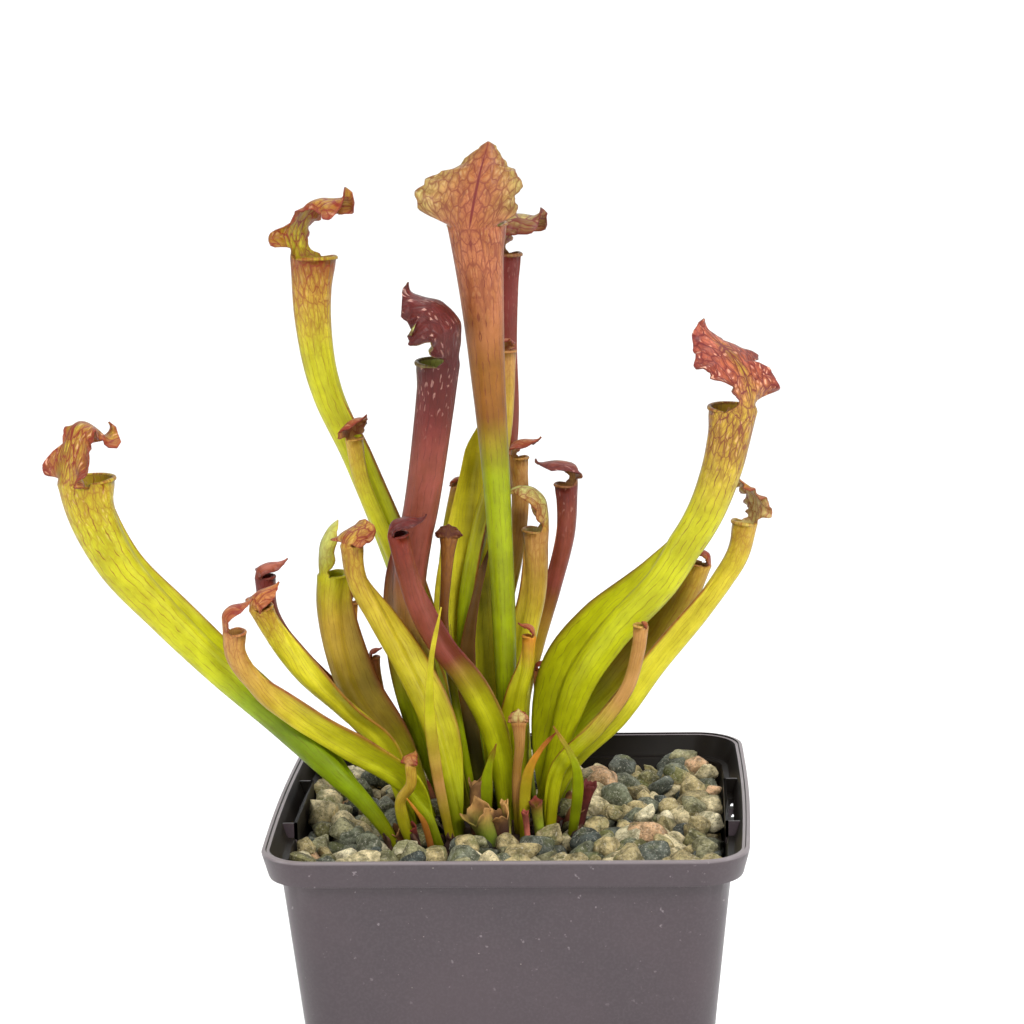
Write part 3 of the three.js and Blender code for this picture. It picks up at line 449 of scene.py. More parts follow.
def leaf_ground(tree, skin, ground, lines, blotch, grain):
    """The stored ground colour with blotches, fibres, grain and furrows, and painted shade at the foot."""
    mottled = toned(tree, ramp(tree, blotch, 0.7, 0.3), ground, (0.72, 0.70, 0.5))
    fibre = noise(tree, vector_maths(tree, "MULTIPLY", skin, (1.3, 0.06, 1.0))[0], 1.0, 3.0)
    streaked = toned(tree, times(tree, ramp(tree, fibre, 0.48, 0.62), 0.22), mottled, (0.66, 0.68, 0.45))
    grained = toned(tree, times(tree, ramp(tree, grain, 0.35, 0.7), 0.3), streaked, (1.22, 1.2, 1.1))
    furrowed = toned(tree, times(tree, lines, 0.36), grained, (0.5, 0.52, 0.34))
    height = split(tree, own_place(tree))["Z"]
    # Painted shade: the foot darkens towards the gravel.
    return toned(tree, times(tree, ramp(tree, height, *FOOT_SHADE), 0.7), furrowed, (0.4, 0.3, 0.28))


def leaf_material(slot, pane_hex):
    material, tree, shader = new_material(slot)
    place, skin = read(tree, "place", "Vector"), read(tree, "skin", "Vector")
    ground, ink = read(tree, "ground", "Color"), read(tree, "ink", "Color")
    line_mark, net_mark, pane_mark = split(tree, read(tree, "marks", "Vector"))
    veins = use_group(tree, VEINS, {"Place": place, "Skin": skin, "Count": 12.0, "Cell": 2.3, "Stretch": 1.7})
    blotch = noise(tree, skin, 0.13, 4.0, 0.6)
    grain = noise(tree, skin, 3.2, 3.0)
    bare = leaf_ground(tree, skin, ground, veins["Lines"], blotch, grain)

    # The vein colour spreads into the skin in patches and beside the net, and panes open between
    patches = times(tree, ramp(tree, noise(tree, skin, 0.3, 3.0), 0.45, 0.62), 0.5)
    near_vein = times(tree, maths(tree, "SUBTRACT", 1.0, veins["Bulge"]), 0.42)
    flushed = blend(tree, times(tree, maths(tree, "MAXIMUM", patches, near_vein), net_mark, True), bare, ink)
    paned = blend(tree, times(tree, veins["Pane"], pane_mark, True), flushed, rgba(pane_hex))
    way = split(tree, place)
    inks = [
        times(tree, veins["Lines"], line_mark, True),
        times(tree, ramp(tree, way["X"], 0.013, 0.004), way["Z"]),
        times(tree, veins["Net"], net_mark, True),
        times(tree, times(tree, veins["Mesh"], net_mark), 0.5, True),
    ]
    all_ink = inks[0]
    for other in inks[1:]:
        all_ink = maths(tree, "MAXIMUM", all_ink, other)
    veined = blend(tree, all_ink, paned, ink)
    # Where the skin turns edge-on to the view it is painted darker: painted shade along the leaves' outlines.
    edge_on = node(tree, "ShaderNodeLayerWeight", {"Blend": 0.35}).outputs["Facing"]
    outline_shaded = toned(tree, times(tree, ramp(tree, edge_on, 0.35, 1.0), 0.75), veined, (0.42, 0.4, 0.3))

    swollen = times(tree, veins["Bulge"], times(tree, net_mark, 1.1))
    raised = maths(tree, "ADD", swollen, times(tree, grain, 0.25))
    ribbed = maths(tree, "SUBTRACT", raised, times(tree, veins["Lines"], 0.35))
    feed(tree, shader, {
        "Base Color": outline_shaded, "Normal": bump(tree, ribbed, 0.7, 0.25),
        "Roughness": maths(tree, "ADD", LEAF_ROUGHNESS, times(tree, blotch, 0.16)),
        "Specular IOR Level": 0.24, "Subsurface Weight": 0.2, "Subsurface Radius": (1.0, 0.9, 0.2),
        "Subsurface Scale": 1.2 * MM})
    return material


leaf_finish = {slot: leaf_material(slot, pane) for slot, pane in PANE_COLOUR.items()}
print("leaf materials:", len(leaf_finish))

# %% [markdown]
# ## The shape of a pitcher
#
# A pitcher is one leaf, rolled into a tube, with a wing where its margins meet in front. Its
# upper end opens in a mouth with a rolled lip, and the back of the mouth carries on as a neck and
# a hood with two lobes and a point. The course is the middle of the whole leaf, from where it
# leaves the rhizome. It is a smooth curve through a few points, and every ring of the tube stands
# across it.

# %% Curve through points
FOOT_DEPTH = 101.0       # height at which the leaves start in the rhizome
CURVE_STEPS = 1600


def unit(vectors):
    return vectors / np.linalg.norm(vectors, axis=-1, keepdims=True)


def course_curve(foot, course):
    """Samples a centripetal Catmull-Rom curve evenly by length. Returns points, tangents and length.

    The centripetal kind spaces its knots by the root of the distance, so it never overshoots.
    """
    points = np.array([(foot[0], foot[1], FOOT_DEPTH), *course], float)
    padded = np.vstack([2 * points[0] - points[1], points, 2 * points[-1] - points[-2]])
    steps = np.linalg.norm(np.diff(padded, axis=0), axis=1) ** 0.5
    spans = len(points) - 1
    samples = []
    for k in range(spans):
        before, here, after, beyond = padded[k : k + 4]
        d0, d1, d2 = steps[k : k + 3]
        leave = ((here - before) / d0 - (after - before) / (d0 + d1) + (after - here) / d1) * d1
        arrive = ((after - here) / d1 - (beyond - here) / (d1 + d2) + (beyond - after) / d2) * d1
        t = np.linspace(0, 1, CURVE_STEPS // spans, endpoint=k == spans - 1)[:, None]
        samples.append(here + leave * t + (-3 * here + 3 * after - 2 * leave - arrive) * t**2
                       + (2 * here - 2 * after + leave + arrive) * t**3)
    line = np.vstack(samples)
    run = np.concatenate([[0], np.cumsum(np.linalg.norm(np.diff(line, axis=0), axis=1))])
    even = np.linspace(0, run[-1], CURVE_STEPS)
    line = np.stack([np.interp(even, run, line[:, axis]) for axis in range(3)], axis=1)
    return line, unit(np.gradient(line, axis=0)), run[-1]

# %% Axes along a leaf
MOUTH_LEVEL = 1.5        # how far the mouth turns from its course towards level
MOUTH_TURN = 0.1         # share of the leaf over which it turns
REAR_ARC = 1.34          # half the angle of the mouth that carries the hood


def leaf_axes(curve, places, face):
    """Point, along, front and across at each place from 0, the foot, to 1, the mouth.

    The face is the compass angle of the front in degrees, or a pair of them where the leaf twists.
    """
    line, tangents, _ = curve
    at = np.clip(places, 0, 1) * (CURVE_STEPS - 1)
    whole = np.arange(CURVE_STEPS)
    point, along = (np.stack([np.interp(at, whole, values[:, axis]) for axis in range(3)], axis=1)
                    for values in (line, tangents))
    along[:, 2] += MOUTH_LEVEL * smooth((places - 1 + MOUTH_TURN) / MOUTH_TURN)
    along = unit(along)
    low, high = face if isinstance(face, tuple) else (face, face)
    turn = np.radians(low + (high - low) * smooth((places - 0.5) / 0.45))
    front = np.stack([np.cos(turn), np.sin(turn), np.zeros(len(turn))], axis=1)
    front = unit(front - along * (along * front).sum(axis=1, keepdims=True))
    return point, along, front, np.cross(along, front)


def tube_radius(tube, place):
    """Radius from the foot's, the waist's and the mouth's. A fourth number says how late it widens."""
    foot, waist, mouth, late = (*tube, 4)[:4]
    return foot + (waist - foot) * smooth(place / 0.38) + (mouth - waist) * place**late


def wing_width(wing, place):
    width, start, end = wing
    share = np.clip((place - start) / (end - start), 0, 1)
    return width * np.sin(np.pi * share**0.9) ** 0.9

# %% [markdown]
# ## Colours and plans of the leaves
#
# A plan lists what differs from leaf to leaf. The foot and the course are the places that the
# leaf runs through, the face is the way that its mouth looks, and the tube gives the radius at
# foot, waist and mouth. The wing has a width, a start and an end.
#
# The hood has a length and a half width, which longer and broader scale. Lean bends its rib, sway
# turns it sideways, width shapes its near side and far_width its far side. Arch and reflex bend
# the sheet across the rib, droop lets its margins hang, and lobes, scallops and frill shape them.
#
# The coat names the ground colours up the leaf, and the hood_coat those of neck, blade and margin.
# The marks say how strongly the long veins, the net and the pale panes show, and lined how far
# the lining colours the inner side at the mouth and at the hood's tip. A leaf could also be drawn
# by hand as a mesh, but a plan can be read, and one number in it moves or bends the leaf.

# %% Colours that the leaves share
PALETTE = {
    "foot_red": "5a2a1c",
    "deep_green": "6a8206",
    "leaf_green": "8ea50c",
    "fresh_green": "97a408",
    "acid": "b8bd10",
    "lime": "b9b61a",
    "yellow": "bfae28",
    "bright": "d3cb2c",
    "gold": "bf9f38",
    "straw": "d6c98b",
    "pale_green": "c9cf7e",
    "hay": "b4a863",
    "olive": "8f8c2c",
    "dark_olive": "5f6420",
    "brown": "8f5c22",
    "tan": "b98a4e",
    "amber": "c07f3c",
    "copper": "b2704a",
    "rose": "c26b55",
    "peach": "cf8742",
    "brick": "7c2a1a",
    "red": "9c4634",
    "plum": "844134",
    "maroon": "6a2623",
    "dark_maroon": "471513",
    "orange": "cf8a2a",
    "bronze": "84701c",
    "bark": "663c16",
    "umber": "5c3f14",
}
colour = {name: linear(code) for name, code in PALETTE.items()}
print("colours:", len(colour))

# %% What leaves of a size share
FLAT = [(0, 0), (1, 0)]
COMMON = dict(
    ink="brick", edge="brick", lining="tan", lined=(0.75, 0.3), rib_band=0.5, midrib=0.5, tube_net=0.38,
    longer=1.15, broader=1.15, sway=0, droop=0.32, lobes=(1.0, 1.0), scallops=4.5, scallop=0.05,
    width=[(0.1, 0.85), (0.27, 1), (0.5, 0.95), (0.7, 0.7), (0.85, 0.32), (0.94, 0.09)],
)
LARGE_LEAF = dict(
    arch=[(0.1, 1.0), (0.26, 0.45), (0.6, 0.6), (0.85, 0.9), (1, 0.5)],
    reflex=[(0, 0), (0.08, -0.5), (0.25, -1.7), (0.42, -1.25), (0.62, -0.35), (0.82, 0.2), (1, 0)],
    frill=0.6, waves=5.5, bead=0.62, rows=76, hollow=0.42, hollow_rows=34, hood_rows=44, columns=(8, 13, 41),
)
SMALL_LEAF = dict(
    lean=[(0, 5), (0.3, 15), (0.55, 70), (0.8, 100), (0.9, 80), (1, 40)],
    arch=[(0.12, 1.15), (0.3, 1.0), (0.6, 1.1), (0.85, 1.0), (1, 0.5)],
    reflex=[(0, 0), (0.12, -0.4), (0.3, -1.1), (0.5, -0.5), (0.7, 0), (1, 0)],
    frill=0.25, waves=3.0, bead=0.42, rows=44, hollow=0.22, hollow_rows=14, hood_rows=22, columns=(5, 8, 23),
)


def full_plan(name, plan):
    """The plan with what all leaves share. The far side of the hood copies the near one by default."""
    plan = {**COMMON, **(LARGE_LEAF if name in LARGE else SMALL_LEAF), **plan}
    return {"far_width": plan["width"], "far_reflex": plan["reflex"], **plan}


print("values that all plans share:", len(COMMON))

# %% The leaves' plans
PITCHERS = {
    "pitcher_far_left": dict(
        foot=(-29, -14), face=35, tube=(1.6, 3.6, 6.8), wing=(3.8, 0.18, 0.95),
        course=[(-33, -16, 111), (-43.5, -17, 124.5), (-55.5, -18, 138.5), (-72, -19, 154.5),
                (-85.5, -20, 168.5), (-97.3, -21, 182), (-104, -22, 196), (-105.2, -22, 203)],
        # The deep green from 0.14 to 0.46 up this leaf is painted shade from the leaves to its right.
        coat=[(0.04, "fresh_green"), (0.14, "leaf_green"), (0.36, "deep_green"), (0.46, "leaf_green"),
              (0.54, "acid"), (0.7, "lime"), (0.9, "lime"), (0.98, "yellow"), (1, "yellow")], hood=(23, 9),
        longer=1.3, broader=1.1,
        lean=[(0, 12), (0.2, 18), (0.46, 24), (0.56, 66), (0.66, 128), (0.82, 138), (0.9, 50), (1, -30)],
        width=[(0.1, 0.95), (0.2, 1.0), (0.3, 0.95), (0.42, 0.42), (0.54, 0.4), (0.66, 0.6), (0.8, 0.7),
               (0.92, 0.2)],
        far_width=[(0.1, 1.1), (0.25, 1.4), (0.4, 1.5), (0.52, 1.2), (0.66, 0.9), (0.78, 0.5),
                   (0.86, 0.6), (0.94, 0.2)],
        reflex=[(0, 0), (0.08, -0.4), (0.25, -1.35), (0.42, -0.9), (0.62, -0.2), (0.82, 0.3), (1, 0)],
        droop=0.5, rib_band=0.9, hood_coat=("yellow", "gold", "red"), lining="gold", marks=(0.85, 1.0, 0.8)),
    "pitcher_top_left": dict(
        foot=(-14, 19), face=-35, tube=(1.7, 3.1, 5.7), wing=(4.0, 0.1, 0.78),
        course=[(-20, 19, 140), (-29, 20, 172), (-40, 23, 200), (-49, 26, 219), (-52, 29, 236),
                (-52, 31, 252)],
        coat=[(0.05, "leaf_green"), (0.4, "fresh_green"), (0.55, "acid"), (0.84, "lime"), (0.94, "gold"),
              (1, "brown")], tube_net=0.7, hood=(24, 8.5), longer=1.32, broader=1.0,
        lean=[(0, -6), (0.14, 0), (0.3, 25), (0.46, 44), (0.62, 76), (0.7, 92), (0.88, 84), (1, -30)],
        width=[(0.12, 0.75), (0.3, 0.75), (0.45, 0.75), (0.62, 0.85), (0.85, 0.75), (0.95, 0.2)],
        far_width=[(0.1, 0.6), (0.2, 1.1), (0.29, 1.1), (0.38, 0.45), (0.6, 0.5), (0.85, 0.95),
                   (0.95, 0.3)],
        arch=[(0.1, 1.0), (0.26, 0.45), (0.5, 0.9), (0.65, 1.5), (0.85, 1.5), (1, 0.6)],
        reflex=[(0, 0), (0.08, -0.5), (0.25, -1.5), (0.42, -0.8), (0.62, -0.1), (0.82, 0.3), (1, 0)],
        rib_band=0.9, hood_coat=("bright", "gold", "red"), lining="lime", lined=(0.45, 0.0),
        marks=(0.6, 1.0, 0.3)),
    "pitcher_centre_tall": dict(
        foot=(-3.5, 14), face=80, sway=-12, tube=(1.5, 3.05, 7.1), wing=(3, 0.1, 0.8),
        course=[(-2, 12, 141), (-2, 11, 161), (-3, 8, 196), (-5, 6, 228), (-6, 4, 248), (-7, 3, 263)],
        coat=[(0.06, "leaf_green"), (0.3, "fresh_green"), (0.6, "fresh_green"), (0.7, "brown"),
              (0.78, "brown"), (0.88, "copper"), (1, "copper")], tube_net=0.9, hood=(22, 14.5),
        longer=1.03, broader=0.9, lean=[(0, 0), (0.5, 14), (0.8, 30), (0.93, 25), (1, 5)],
        width=[(0.03, 1.1), (0.13, 0.92), (0.22, 1.0), (0.42, 1.04), (0.54, 0.95), (0.68, 0.74),
               (0.77, 0.54), (0.87, 0.34), (0.95, 0.17)],
        reflex=[(0, 0), (0.08, -0.6), (0.25, -1.1), (0.5, -0.75), (0.8, -0.2), (1, 0)], droop=-0.12,
        lobes=(0.86, 1.14), scallops=4.2, scallop=0.1, frill=0.5, midrib=1,
        hood_coat=("copper", "copper", "hay"), lining="pale_green", ink="maroon", marks=(0.85, 0.65, 0.2)),
    "pitcher_dark_tall": dict(
        foot=(-14, 2), face=162, tube=(2, 4.2, 5.2), wing=(4.4, 0.05, 0.66),
        course=[(-23, 1, 135), (-27, -1, 158), (-27, -2, 171), (-22, -6, 192), (-18, -9, 216),
                (-16, -11, 230)],
        coat=[(0.05, "leaf_green"), (0.3, "fresh_green"), (0.48, "tan"), (0.58, "plum"), (0.8, "plum"),
              (0.9, "maroon"), (1, "dark_maroon")], hood=(23, 10.5), longer=1.24, broader=1.45,
        lean=[(0, 2), (0.3, 2), (0.44, 40), (0.6, 54), (0.72, 85), (0.86, 75), (1, -10)],
        width=[(0.08, 0.9), (0.22, 0.9), (0.45, 1.0), (0.65, 0.88), (0.82, 0.55), (0.93, 0.14)],
        far_width=[(0.08, 0.9), (0.22, 1.0), (0.45, 1.4), (0.65, 1.3), (0.82, 0.8), (0.93, 0.2)],
        arch=[(0.1, 1.3), (0.3, 1.35), (0.6, 1.5), (0.85, 1.4), (1, 0.5)],
        reflex=[(0, 0), (0.08, -0.6), (0.18, -2.0), (0.36, -2.0), (0.5, -0.1), (0.82, 0), (1, 0)],
        far_reflex=FLAT, droop=0.1, hood_coat=("dark_maroon", "maroon", "dark_maroon"),
        lining="pale_green", lined=(0.8, 0.95), ink="dark_maroon", edge="maroon", marks=(0.5, 0.7, 0.7)),
    "pitcher_big_right": dict(
        foot=(6, 12), face=140, sway=12, tube=(1.5, 4.1, 5.8), wing=(9.8, 0.08, 0.7),
        course=[(10, 9, 131), (14.5, 6, 146), (23.5, 3, 158.5), (39, 0, 173), (49, -3, 187),
                (54.5, -6, 201), (58, -8, 217)],
        coat=[(0.04, "acid"), (0.5, "acid"), (0.78, "lime"), (0.93, "gold"), (1, "gold")], tube_net=0.8,
        hood=(26, 10.5), longer=1.1, broader=1.15,
        lean=[(0, 0), (0.3, 14), (0.5, 45), (0.7, 60), (0.88, 50), (1, -35)],
        width=[(0.12, 0.62), (0.28, 0.62), (0.42, 0.95), (0.6, 0.95), (0.74, 0.6), (0.87, 0.36),
               (0.95, 0.1)],
        far_width=[(0.08, 0.65), (0.2, 0.95), (0.3, 0.9), (0.4, 0.9), (0.48, 0.55), (0.58, 1.25),
                   (0.7, 1.25), (0.78, 0.6), (0.9, 0.3), (0.96, 0.1)],
        reflex=[(0, 0), (0.08, -0.5), (0.25, -1.5), (0.42, -0.8), (0.62, -0.1), (0.82, 0.2), (1, 0)],
        droop=0.08, midrib=1, rib_band=1, hood_coat=("gold", "rose", "red"), lining="gold", ink="maroon",
        edge="maroon", marks=(0.9, 1.0, 0.85)),
    "pitcher_second_right": dict(
        foot=(5.5, 3), face=215, tube=(1.8, 2.6, 3.1), wing=(3.6, 0.05, 0.85),
        course=[(14, 4, 122), (26, 6, 134), (36, 8, 147), (49.5, 10, 162.5), (58.5, 11, 175),
                (61, 11, 184)],
        coat=[(0.05, "leaf_green"), (0.2, "acid"), (0.5, "bright"), (0.9, "yellow"), (1, "gold")],
        hood=(14, 6), longer=1.2, broader=1.0,
        lean=[(0, -8), (0.3, 6), (0.52, 44), (0.8, 62), (0.9, 48), (1, 0)],
        width=[(0.1, 0.8), (0.3, 1.0), (0.5, 0.85), (0.7, 0.6), (0.85, 0.32), (0.94, 0.09)],
        hood_coat=("yellow", "gold", "copper"), lining="straw", lined=(0.8, 0.7), marks=(0.5, 0.75, 0.2)),
    "pitcher_back_tall": dict(
        foot=(-8, 27), face=-20, tube=(1.7, 2.9, 3.1), wing=(2.5, 0.1, 0.6),
        course=[(-12, 30, 133), (-9, 32, 158), (-5.5, 33, 179), (-1.5, 33, 206), (-1.5, 33, 230),
                (-0.5, 33, 252)],
        coat=[(0.05, "leaf_green"), (0.4, "olive"), (0.6, "plum"), (1, "maroon")], hood=(15.5, 6),
        longer=1.48, broader=1.2, lean=[(0, 0), (0.37, 5), (0.52, 80), (0.8, 98), (0.92, 60), (1, -10)],
        width=[(0.1, 0.9), (0.27, 1), (0.5, 1.05), (0.7, 1.1), (0.85, 0.95), (0.94, 0.4)],
        arch=[(0.1, 1.2), (0.3, 1.1), (0.5, 1.5), (0.85, 1.5), (1, 0.8)], far_reflex=FLAT,
        hood_coat=("hay", "hay", "maroon"), lined=(0.6, 0.3), ink="maroon", edge="maroon",
        marks=(0.5, 0.9, 0.2)),
    "pitcher_low_left": dict(
        foot=(-18, -11), face=(-20, 10), tube=(1.3, 2.3, 2.7), wing=(7.2, 0.15, 0.82),
        course=[(-26, -15, 122), (-39, -20, 133), (-52, -25, 143), (-62, -30, 152), (-67, -34, 161),
                (-67, -36, 167)],
        coat=[(0.06, "leaf_green"), (0.3, "acid"), (0.6, "bright"), (0.78, "gold"), (1, "tan")],
        hood=(12, 3.8), lean=[(0, -5), (0.3, 0), (0.5, 50), (0.7, 85), (0.9, 70), (1, 50)],
        hood_coat=("tan", "copper", "copper"), marks=(0.8, 0.95, 0.1)),
    "pitcher_mid_left": dict(
        foot=(-25, -5), face=(-40, 25), tube=(1.5, 2.4, 2.9), wing=(3.4, 0.1, 0.9),
        course=[(-32.5, -8, 130.5), (-41.5, -10, 140.5), (-51, -14, 151), (-58.5, -18, 162),
                (-62, -22, 170)],
        coat=[(0.06, "leaf_green"), (0.2, "acid"), (0.5, "bright"), (0.85, "bright"), (1, "gold")],
        hood=(10, 4.8), lean=[(0, 5), (0.15, 15), (0.4, 65), (0.7, 86), (0.9, 80), (1, 50)],
        hood_coat=("gold", "peach", "copper"), marks=(0.6, 0.9, 0.3)),
    "pitcher_red_left": dict(
        foot=(-26, 5.5), face=(-10, 15), tube=(1.5, 2.1, 2.5), wing=(2.6, 0.1, 0.8),
        course=[(-34, 5, 126), (-46, 2, 141), (-55, -1, 152), (-62, -3, 164), (-63, -4, 174)],
        coat=[(0.06, "olive"), (0.35, "tan"), (0.6, "plum"), (1, "maroon")], hood=(9.5, 3.8),
        lean=[(0, 0), (0.15, 15), (0.38, 70), (0.7, 95), (0.9, 75), (1, 50)],
        hood_coat=("plum", "rose", "plum"), lining="plum", ink="maroon", edge="maroon",
        marks=(0.4, 0.4, 0.1)),
    "pitcher_olive_left": dict(
        foot=(-19, 0), face=(0, 10), tube=(1.4, 2.6, 3.6), wing=(5.6, 0.15, 1.05),
        course=[(-32, -1, 131), (-39, -2, 143), (-43, -4, 156), (-45, -5, 167), (-45, -6, 175)],
        coat=[(0.06, "leaf_green"), (0.25, "lime"), (0.45, "bronze"), (0.62, "bronze"), (0.85, "gold"),
              (1, "lime")], hood=(14, 5.2), lean=[(0, -6), (0.4, 6), (0.7, 30), (1, 55)],
        width=[(0.1, 1.0), (0.4, 1.0), (0.7, 0.85), (0.92, 0.4)], arch=[(0.3, 1.5), (0.7, 1.5), (1, 1.2)],
        reflex=FLAT, hood_coat=("lime", "pale_green", "lime"), lining="acid", marks=(0.35, 0.25, 0.1)),
    "pitcher_gold_left": dict(
        foot=(-14, -6), face=(20, 45), tube=(1.6, 2.2, 2.8), wing=(4.8, 0.1, 0.9),
        course=[(-18, -8, 134), (-25, -10, 152), (-32, -13, 165), (-38, -15, 176), (-39, -17, 185)],
        coat=[(0.06, "leaf_green"), (0.3, "lime"), (0.7, "yellow"), (1, "gold")], hood=(9, 5.2),
        lean=[(0, 0), (0.15, 15), (0.35, 60), (0.7, 78), (0.9, 70), (1, 40)],
        width=[(0.12, 0.8), (0.35, 1.0), (0.7, 1.0), (0.9, 0.75), (0.97, 0.5)],
        hood_coat=("gold", "gold", "copper"), marks=(0.8, 0.9, 0.2)),
    "pitcher_dark_front": dict(
        foot=(-2.5, 4), face=(-30, 5), tube=(1.6, 2.8, 2.5), wing=(3.4, 0.1, 0.85),
        course=[(-4, 0, 130), (-10, -5, 146), (-18, -10, 159), (-24, -15, 173), (-27, -20, 188)],
        coat=[(0.06, "fresh_green"), (0.3, "acid"), (0.45, "lime"), (0.6, "plum"), (0.85, "plum"),
              (1, "brick")], hood=(11.5, 4),
        lean=[(0, 5), (0.2, 20), (0.42, 78), (0.75, 105), (0.9, 80), (1, 30)],
        hood_coat=("brick", "maroon", "dark_maroon"), lining="maroon", ink="dark_maroon", edge="maroon",
        marks=(0.6, 0.6, 0.1)),
    "pitcher_flared": dict(
        foot=(-9.5, 7), face=90, tube=(1.1, 1.15, 2.3, 12), wing=(1, 0.1, 0.6),
        course=[(-15, 2, 140), (-17, -3, 162), (-16, -5, 174), (-15, -6, 184.5)],
        coat=[(0.06, "fresh_green"), (0.4, "fresh_green"), (0.6, "bark"), (0.8, "bark"), (1, "brown")],
        hood=(3.6, 3.2), lean=[(0, -12), (1, 5)],
        width=[(0.1, 1.2), (0.45, 1.0), (0.75, 0.6), (0.92, 0.15)], arch=[(0.3, 0.6), (1, 0.3)],
        reflex=[(0, 0), (1, -0.3)], bead=0.3, hood_coat=("brown", "bark", "bark"), lining="pale_green",
        ink="dark_maroon", marks=(0.8, 0.7, 0.1)),
    "pitcher_back_yellow": dict(
        foot=(-8, 17.5), face=-60, tube=(1.6, 2.2, 2.4), wing=(2.5, 0.1, 0.7),
        course=[(-12, 16.5, 139), (-12, 16.5, 161), (-8, 17, 183), (-2.5, 18, 204), (-1, 19, 219),
                (-0.8, 19, 228.5)],
        coat=[(0.06, "leaf_green"), (0.5, "fresh_green"), (0.8, "yellow"), (1, "tan")], hood=(6, 3),
        hood_coat=("tan", "copper", "brick"), marks=(0.5, 0.5, 0.1)),
    "pitcher_back_middle": dict(
        foot=(-3, 24), face=(-50, -20), tube=(1.6, 2.1, 2.4), wing=(1.6, 0.1, 0.7),
        course=[(-6, 26, 137), (-4, 26, 153), (0, 26, 172), (1.8, 26, 186), (1.5, 26, 199)],
        coat=[(0.06, "leaf_green"), (0.5, "lime"), (0.8, "tan"), (1, "tan")], hood=(11, 4),
        lean=[(0, 0), (0.25, 12), (0.45, 72), (0.7, 92), (0.9, 80), (1, 40)],
        hood_coat=("yellow", "copper", "brick"), marks=(0.5, 0.6, 0.2)),
    "pitcher_tan_curled": dict(
        foot=(1, 19), face=190, tube=(1.3, 2.5, 3.3), wing=(2.6, 0.1, 0.95),
        course=[(0, 20, 137), (2, 18, 152), (5, 16, 164), (6, 15, 172), (6.5, 14, 182)],
        coat=[(0.06, "leaf_green"), (0.3, "lime"), (0.6, "bright"), (0.8, "gold"), (1, "tan")],
        hood=(20, 5.6), longer=1.0,
        lean=[(0, -4), (0.35, 8), (0.55, 45), (0.75, 80), (0.9, 110), (1, 140)],
        width=[(0.08, 1.0), (0.35, 0.95), (0.6, 1.0), (0.8, 0.75), (0.93, 0.3)],
        arch=[(0.3, 1.35), (0.7, 1.3), (1, 1.0)], reflex=FLAT, hood_coat=("gold", "pale_green", "tan"),
        lining="straw", marks=(0.6, 0.7, 0.1)),
    "pitcher_red_right": dict(
        foot=(4, 25), face=(220, 205), tube=(1.3, 1.9, 2.9), wing=(1.2, 0.1, 0.9),
        course=[(1, 28, 131), (5, 26, 148), (10, 23, 165), (14, 20, 181), (14.5, 19, 193)],
        coat=[(0.06, "leaf_green"), (0.3, "lime"), (0.5, "gold"), (0.7, "plum"), (0.92, "plum"),
              (1, "maroon")], hood=(15, 5),
        lean=[(0, -8), (0.24, 5), (0.42, 74), (0.8, 95), (0.92, 80), (1, 20)],
        width=[(0.12, 0.9), (0.3, 1.0), (0.5, 0.8), (0.75, 0.6), (0.93, 0.2)],
        hood_coat=("tan", "plum", "maroon"), ink="dark_maroon", edge="maroon", marks=(0.5, 0.6, 0.4)),
    "pitcher_hidden_right": dict(
        foot=(11, 16), face=180, tube=(1.6, 3.2, 3.2), wing=(5.5, 0.1, 0.9),
        course=[(15, 16, 126), (26, 18, 139), (38, 20, 153), (45.5, 21, 163), (49, 21, 171)],
        coat=[(0.06, "leaf_green"), (0.3, "fresh_green"), (0.6, "bronze"), (0.85, "bronze"), (1, "gold")],
        hood=(7, 3), hood_coat=("copper", "brick", "brown"), lining="brown", marks=(0.6, 0.6, 0.1)),
    "pitcher_brown_right": dict(
        foot=(9, -3), face=180, tube=(1.4, 1.6, 1.8), wing=(1, 0.1, 0.7),
        course=[(12, -5, 123), (22, -7, 134), (30, -9, 145), (33, -10, 155), (34, -11, 162)],
        coat=[(0.06, "acid"), (0.45, "acid"), (0.7, "tan"), (1, "tan")], hood=(2, 1.7),
        hood_coat=("tan", "copper", "brick"), lining="yellow", marks=(0.5, 0.4, 0.0)),
    "pitcher_over_top_left": dict(
        foot=(-11, 14), face=(-50, -35), tube=(1.6, 1.9, 2.2), wing=(2.5, 0.1, 0.7),
        course=[(-16, 13, 127), (-23, 13, 152), (-32, 14, 178), (-39, 16, 195), (-41, 17, 206)],
        coat=[(0.06, "leaf_green"), (0.5, "acid"), (0.85, "lime"), (1, "gold")], hood=(10, 4.8),
        lean=[(0, -2), (0.3, 12), (0.5, 62), (0.8, 90), (1, 50)], hood_coat=("gold", "copper", "brick"),
        marks=(0.5, 0.6, 0.2)),
    "pitcher_yellow_hook": dict(
        foot=(-0.5, 9.5), face=180, tube=(1.3, 1.5, 1.7), wing=(3.2, 0.1, 0.95),
        course=[(-1, 5, 129), (1, 1, 141), (4, -1, 150), (5, -1, 157)],
        coat=[(0.08, "leaf_green"), (0.4, "acid"), (0.85, "lime"), (1, "orange")], hood=(6, 2),
        hood_coat=("gold", "copper", "brick"), lining="orange", marks=(0.4, 0.4, 0.0)),
    "pitcher_small_front": dict(
        foot=(1, -1), face=90, tube=(0.9, 1.2, 2.1, 9), wing=(0.5, 0.1, 0.7),
        course=[(1, -4, 121), (2, -6, 129), (2, -7, 136)],
        coat=[(0.2, "lime"), (0.4, "tan"), (0.85, "tan"), (1, "tan")], hood=(3.6, 2.5),
        lean=[(0, -8), (1, 10)], arch=[(0.3, 0.7), (1, 0.3)], reflex=[(0, 0), (1, -0.3)], bead=0.25,
        hood_coat=("tan", "straw", "copper"), lining="copper", marks=(1.0, 0.6, 0.0)),
    "pitcher_hook_left": dict(
        foot=(-27, 2), face=0, tube=(1, 1.2, 1.4), wing=(0.5, 0.1, 0.7),
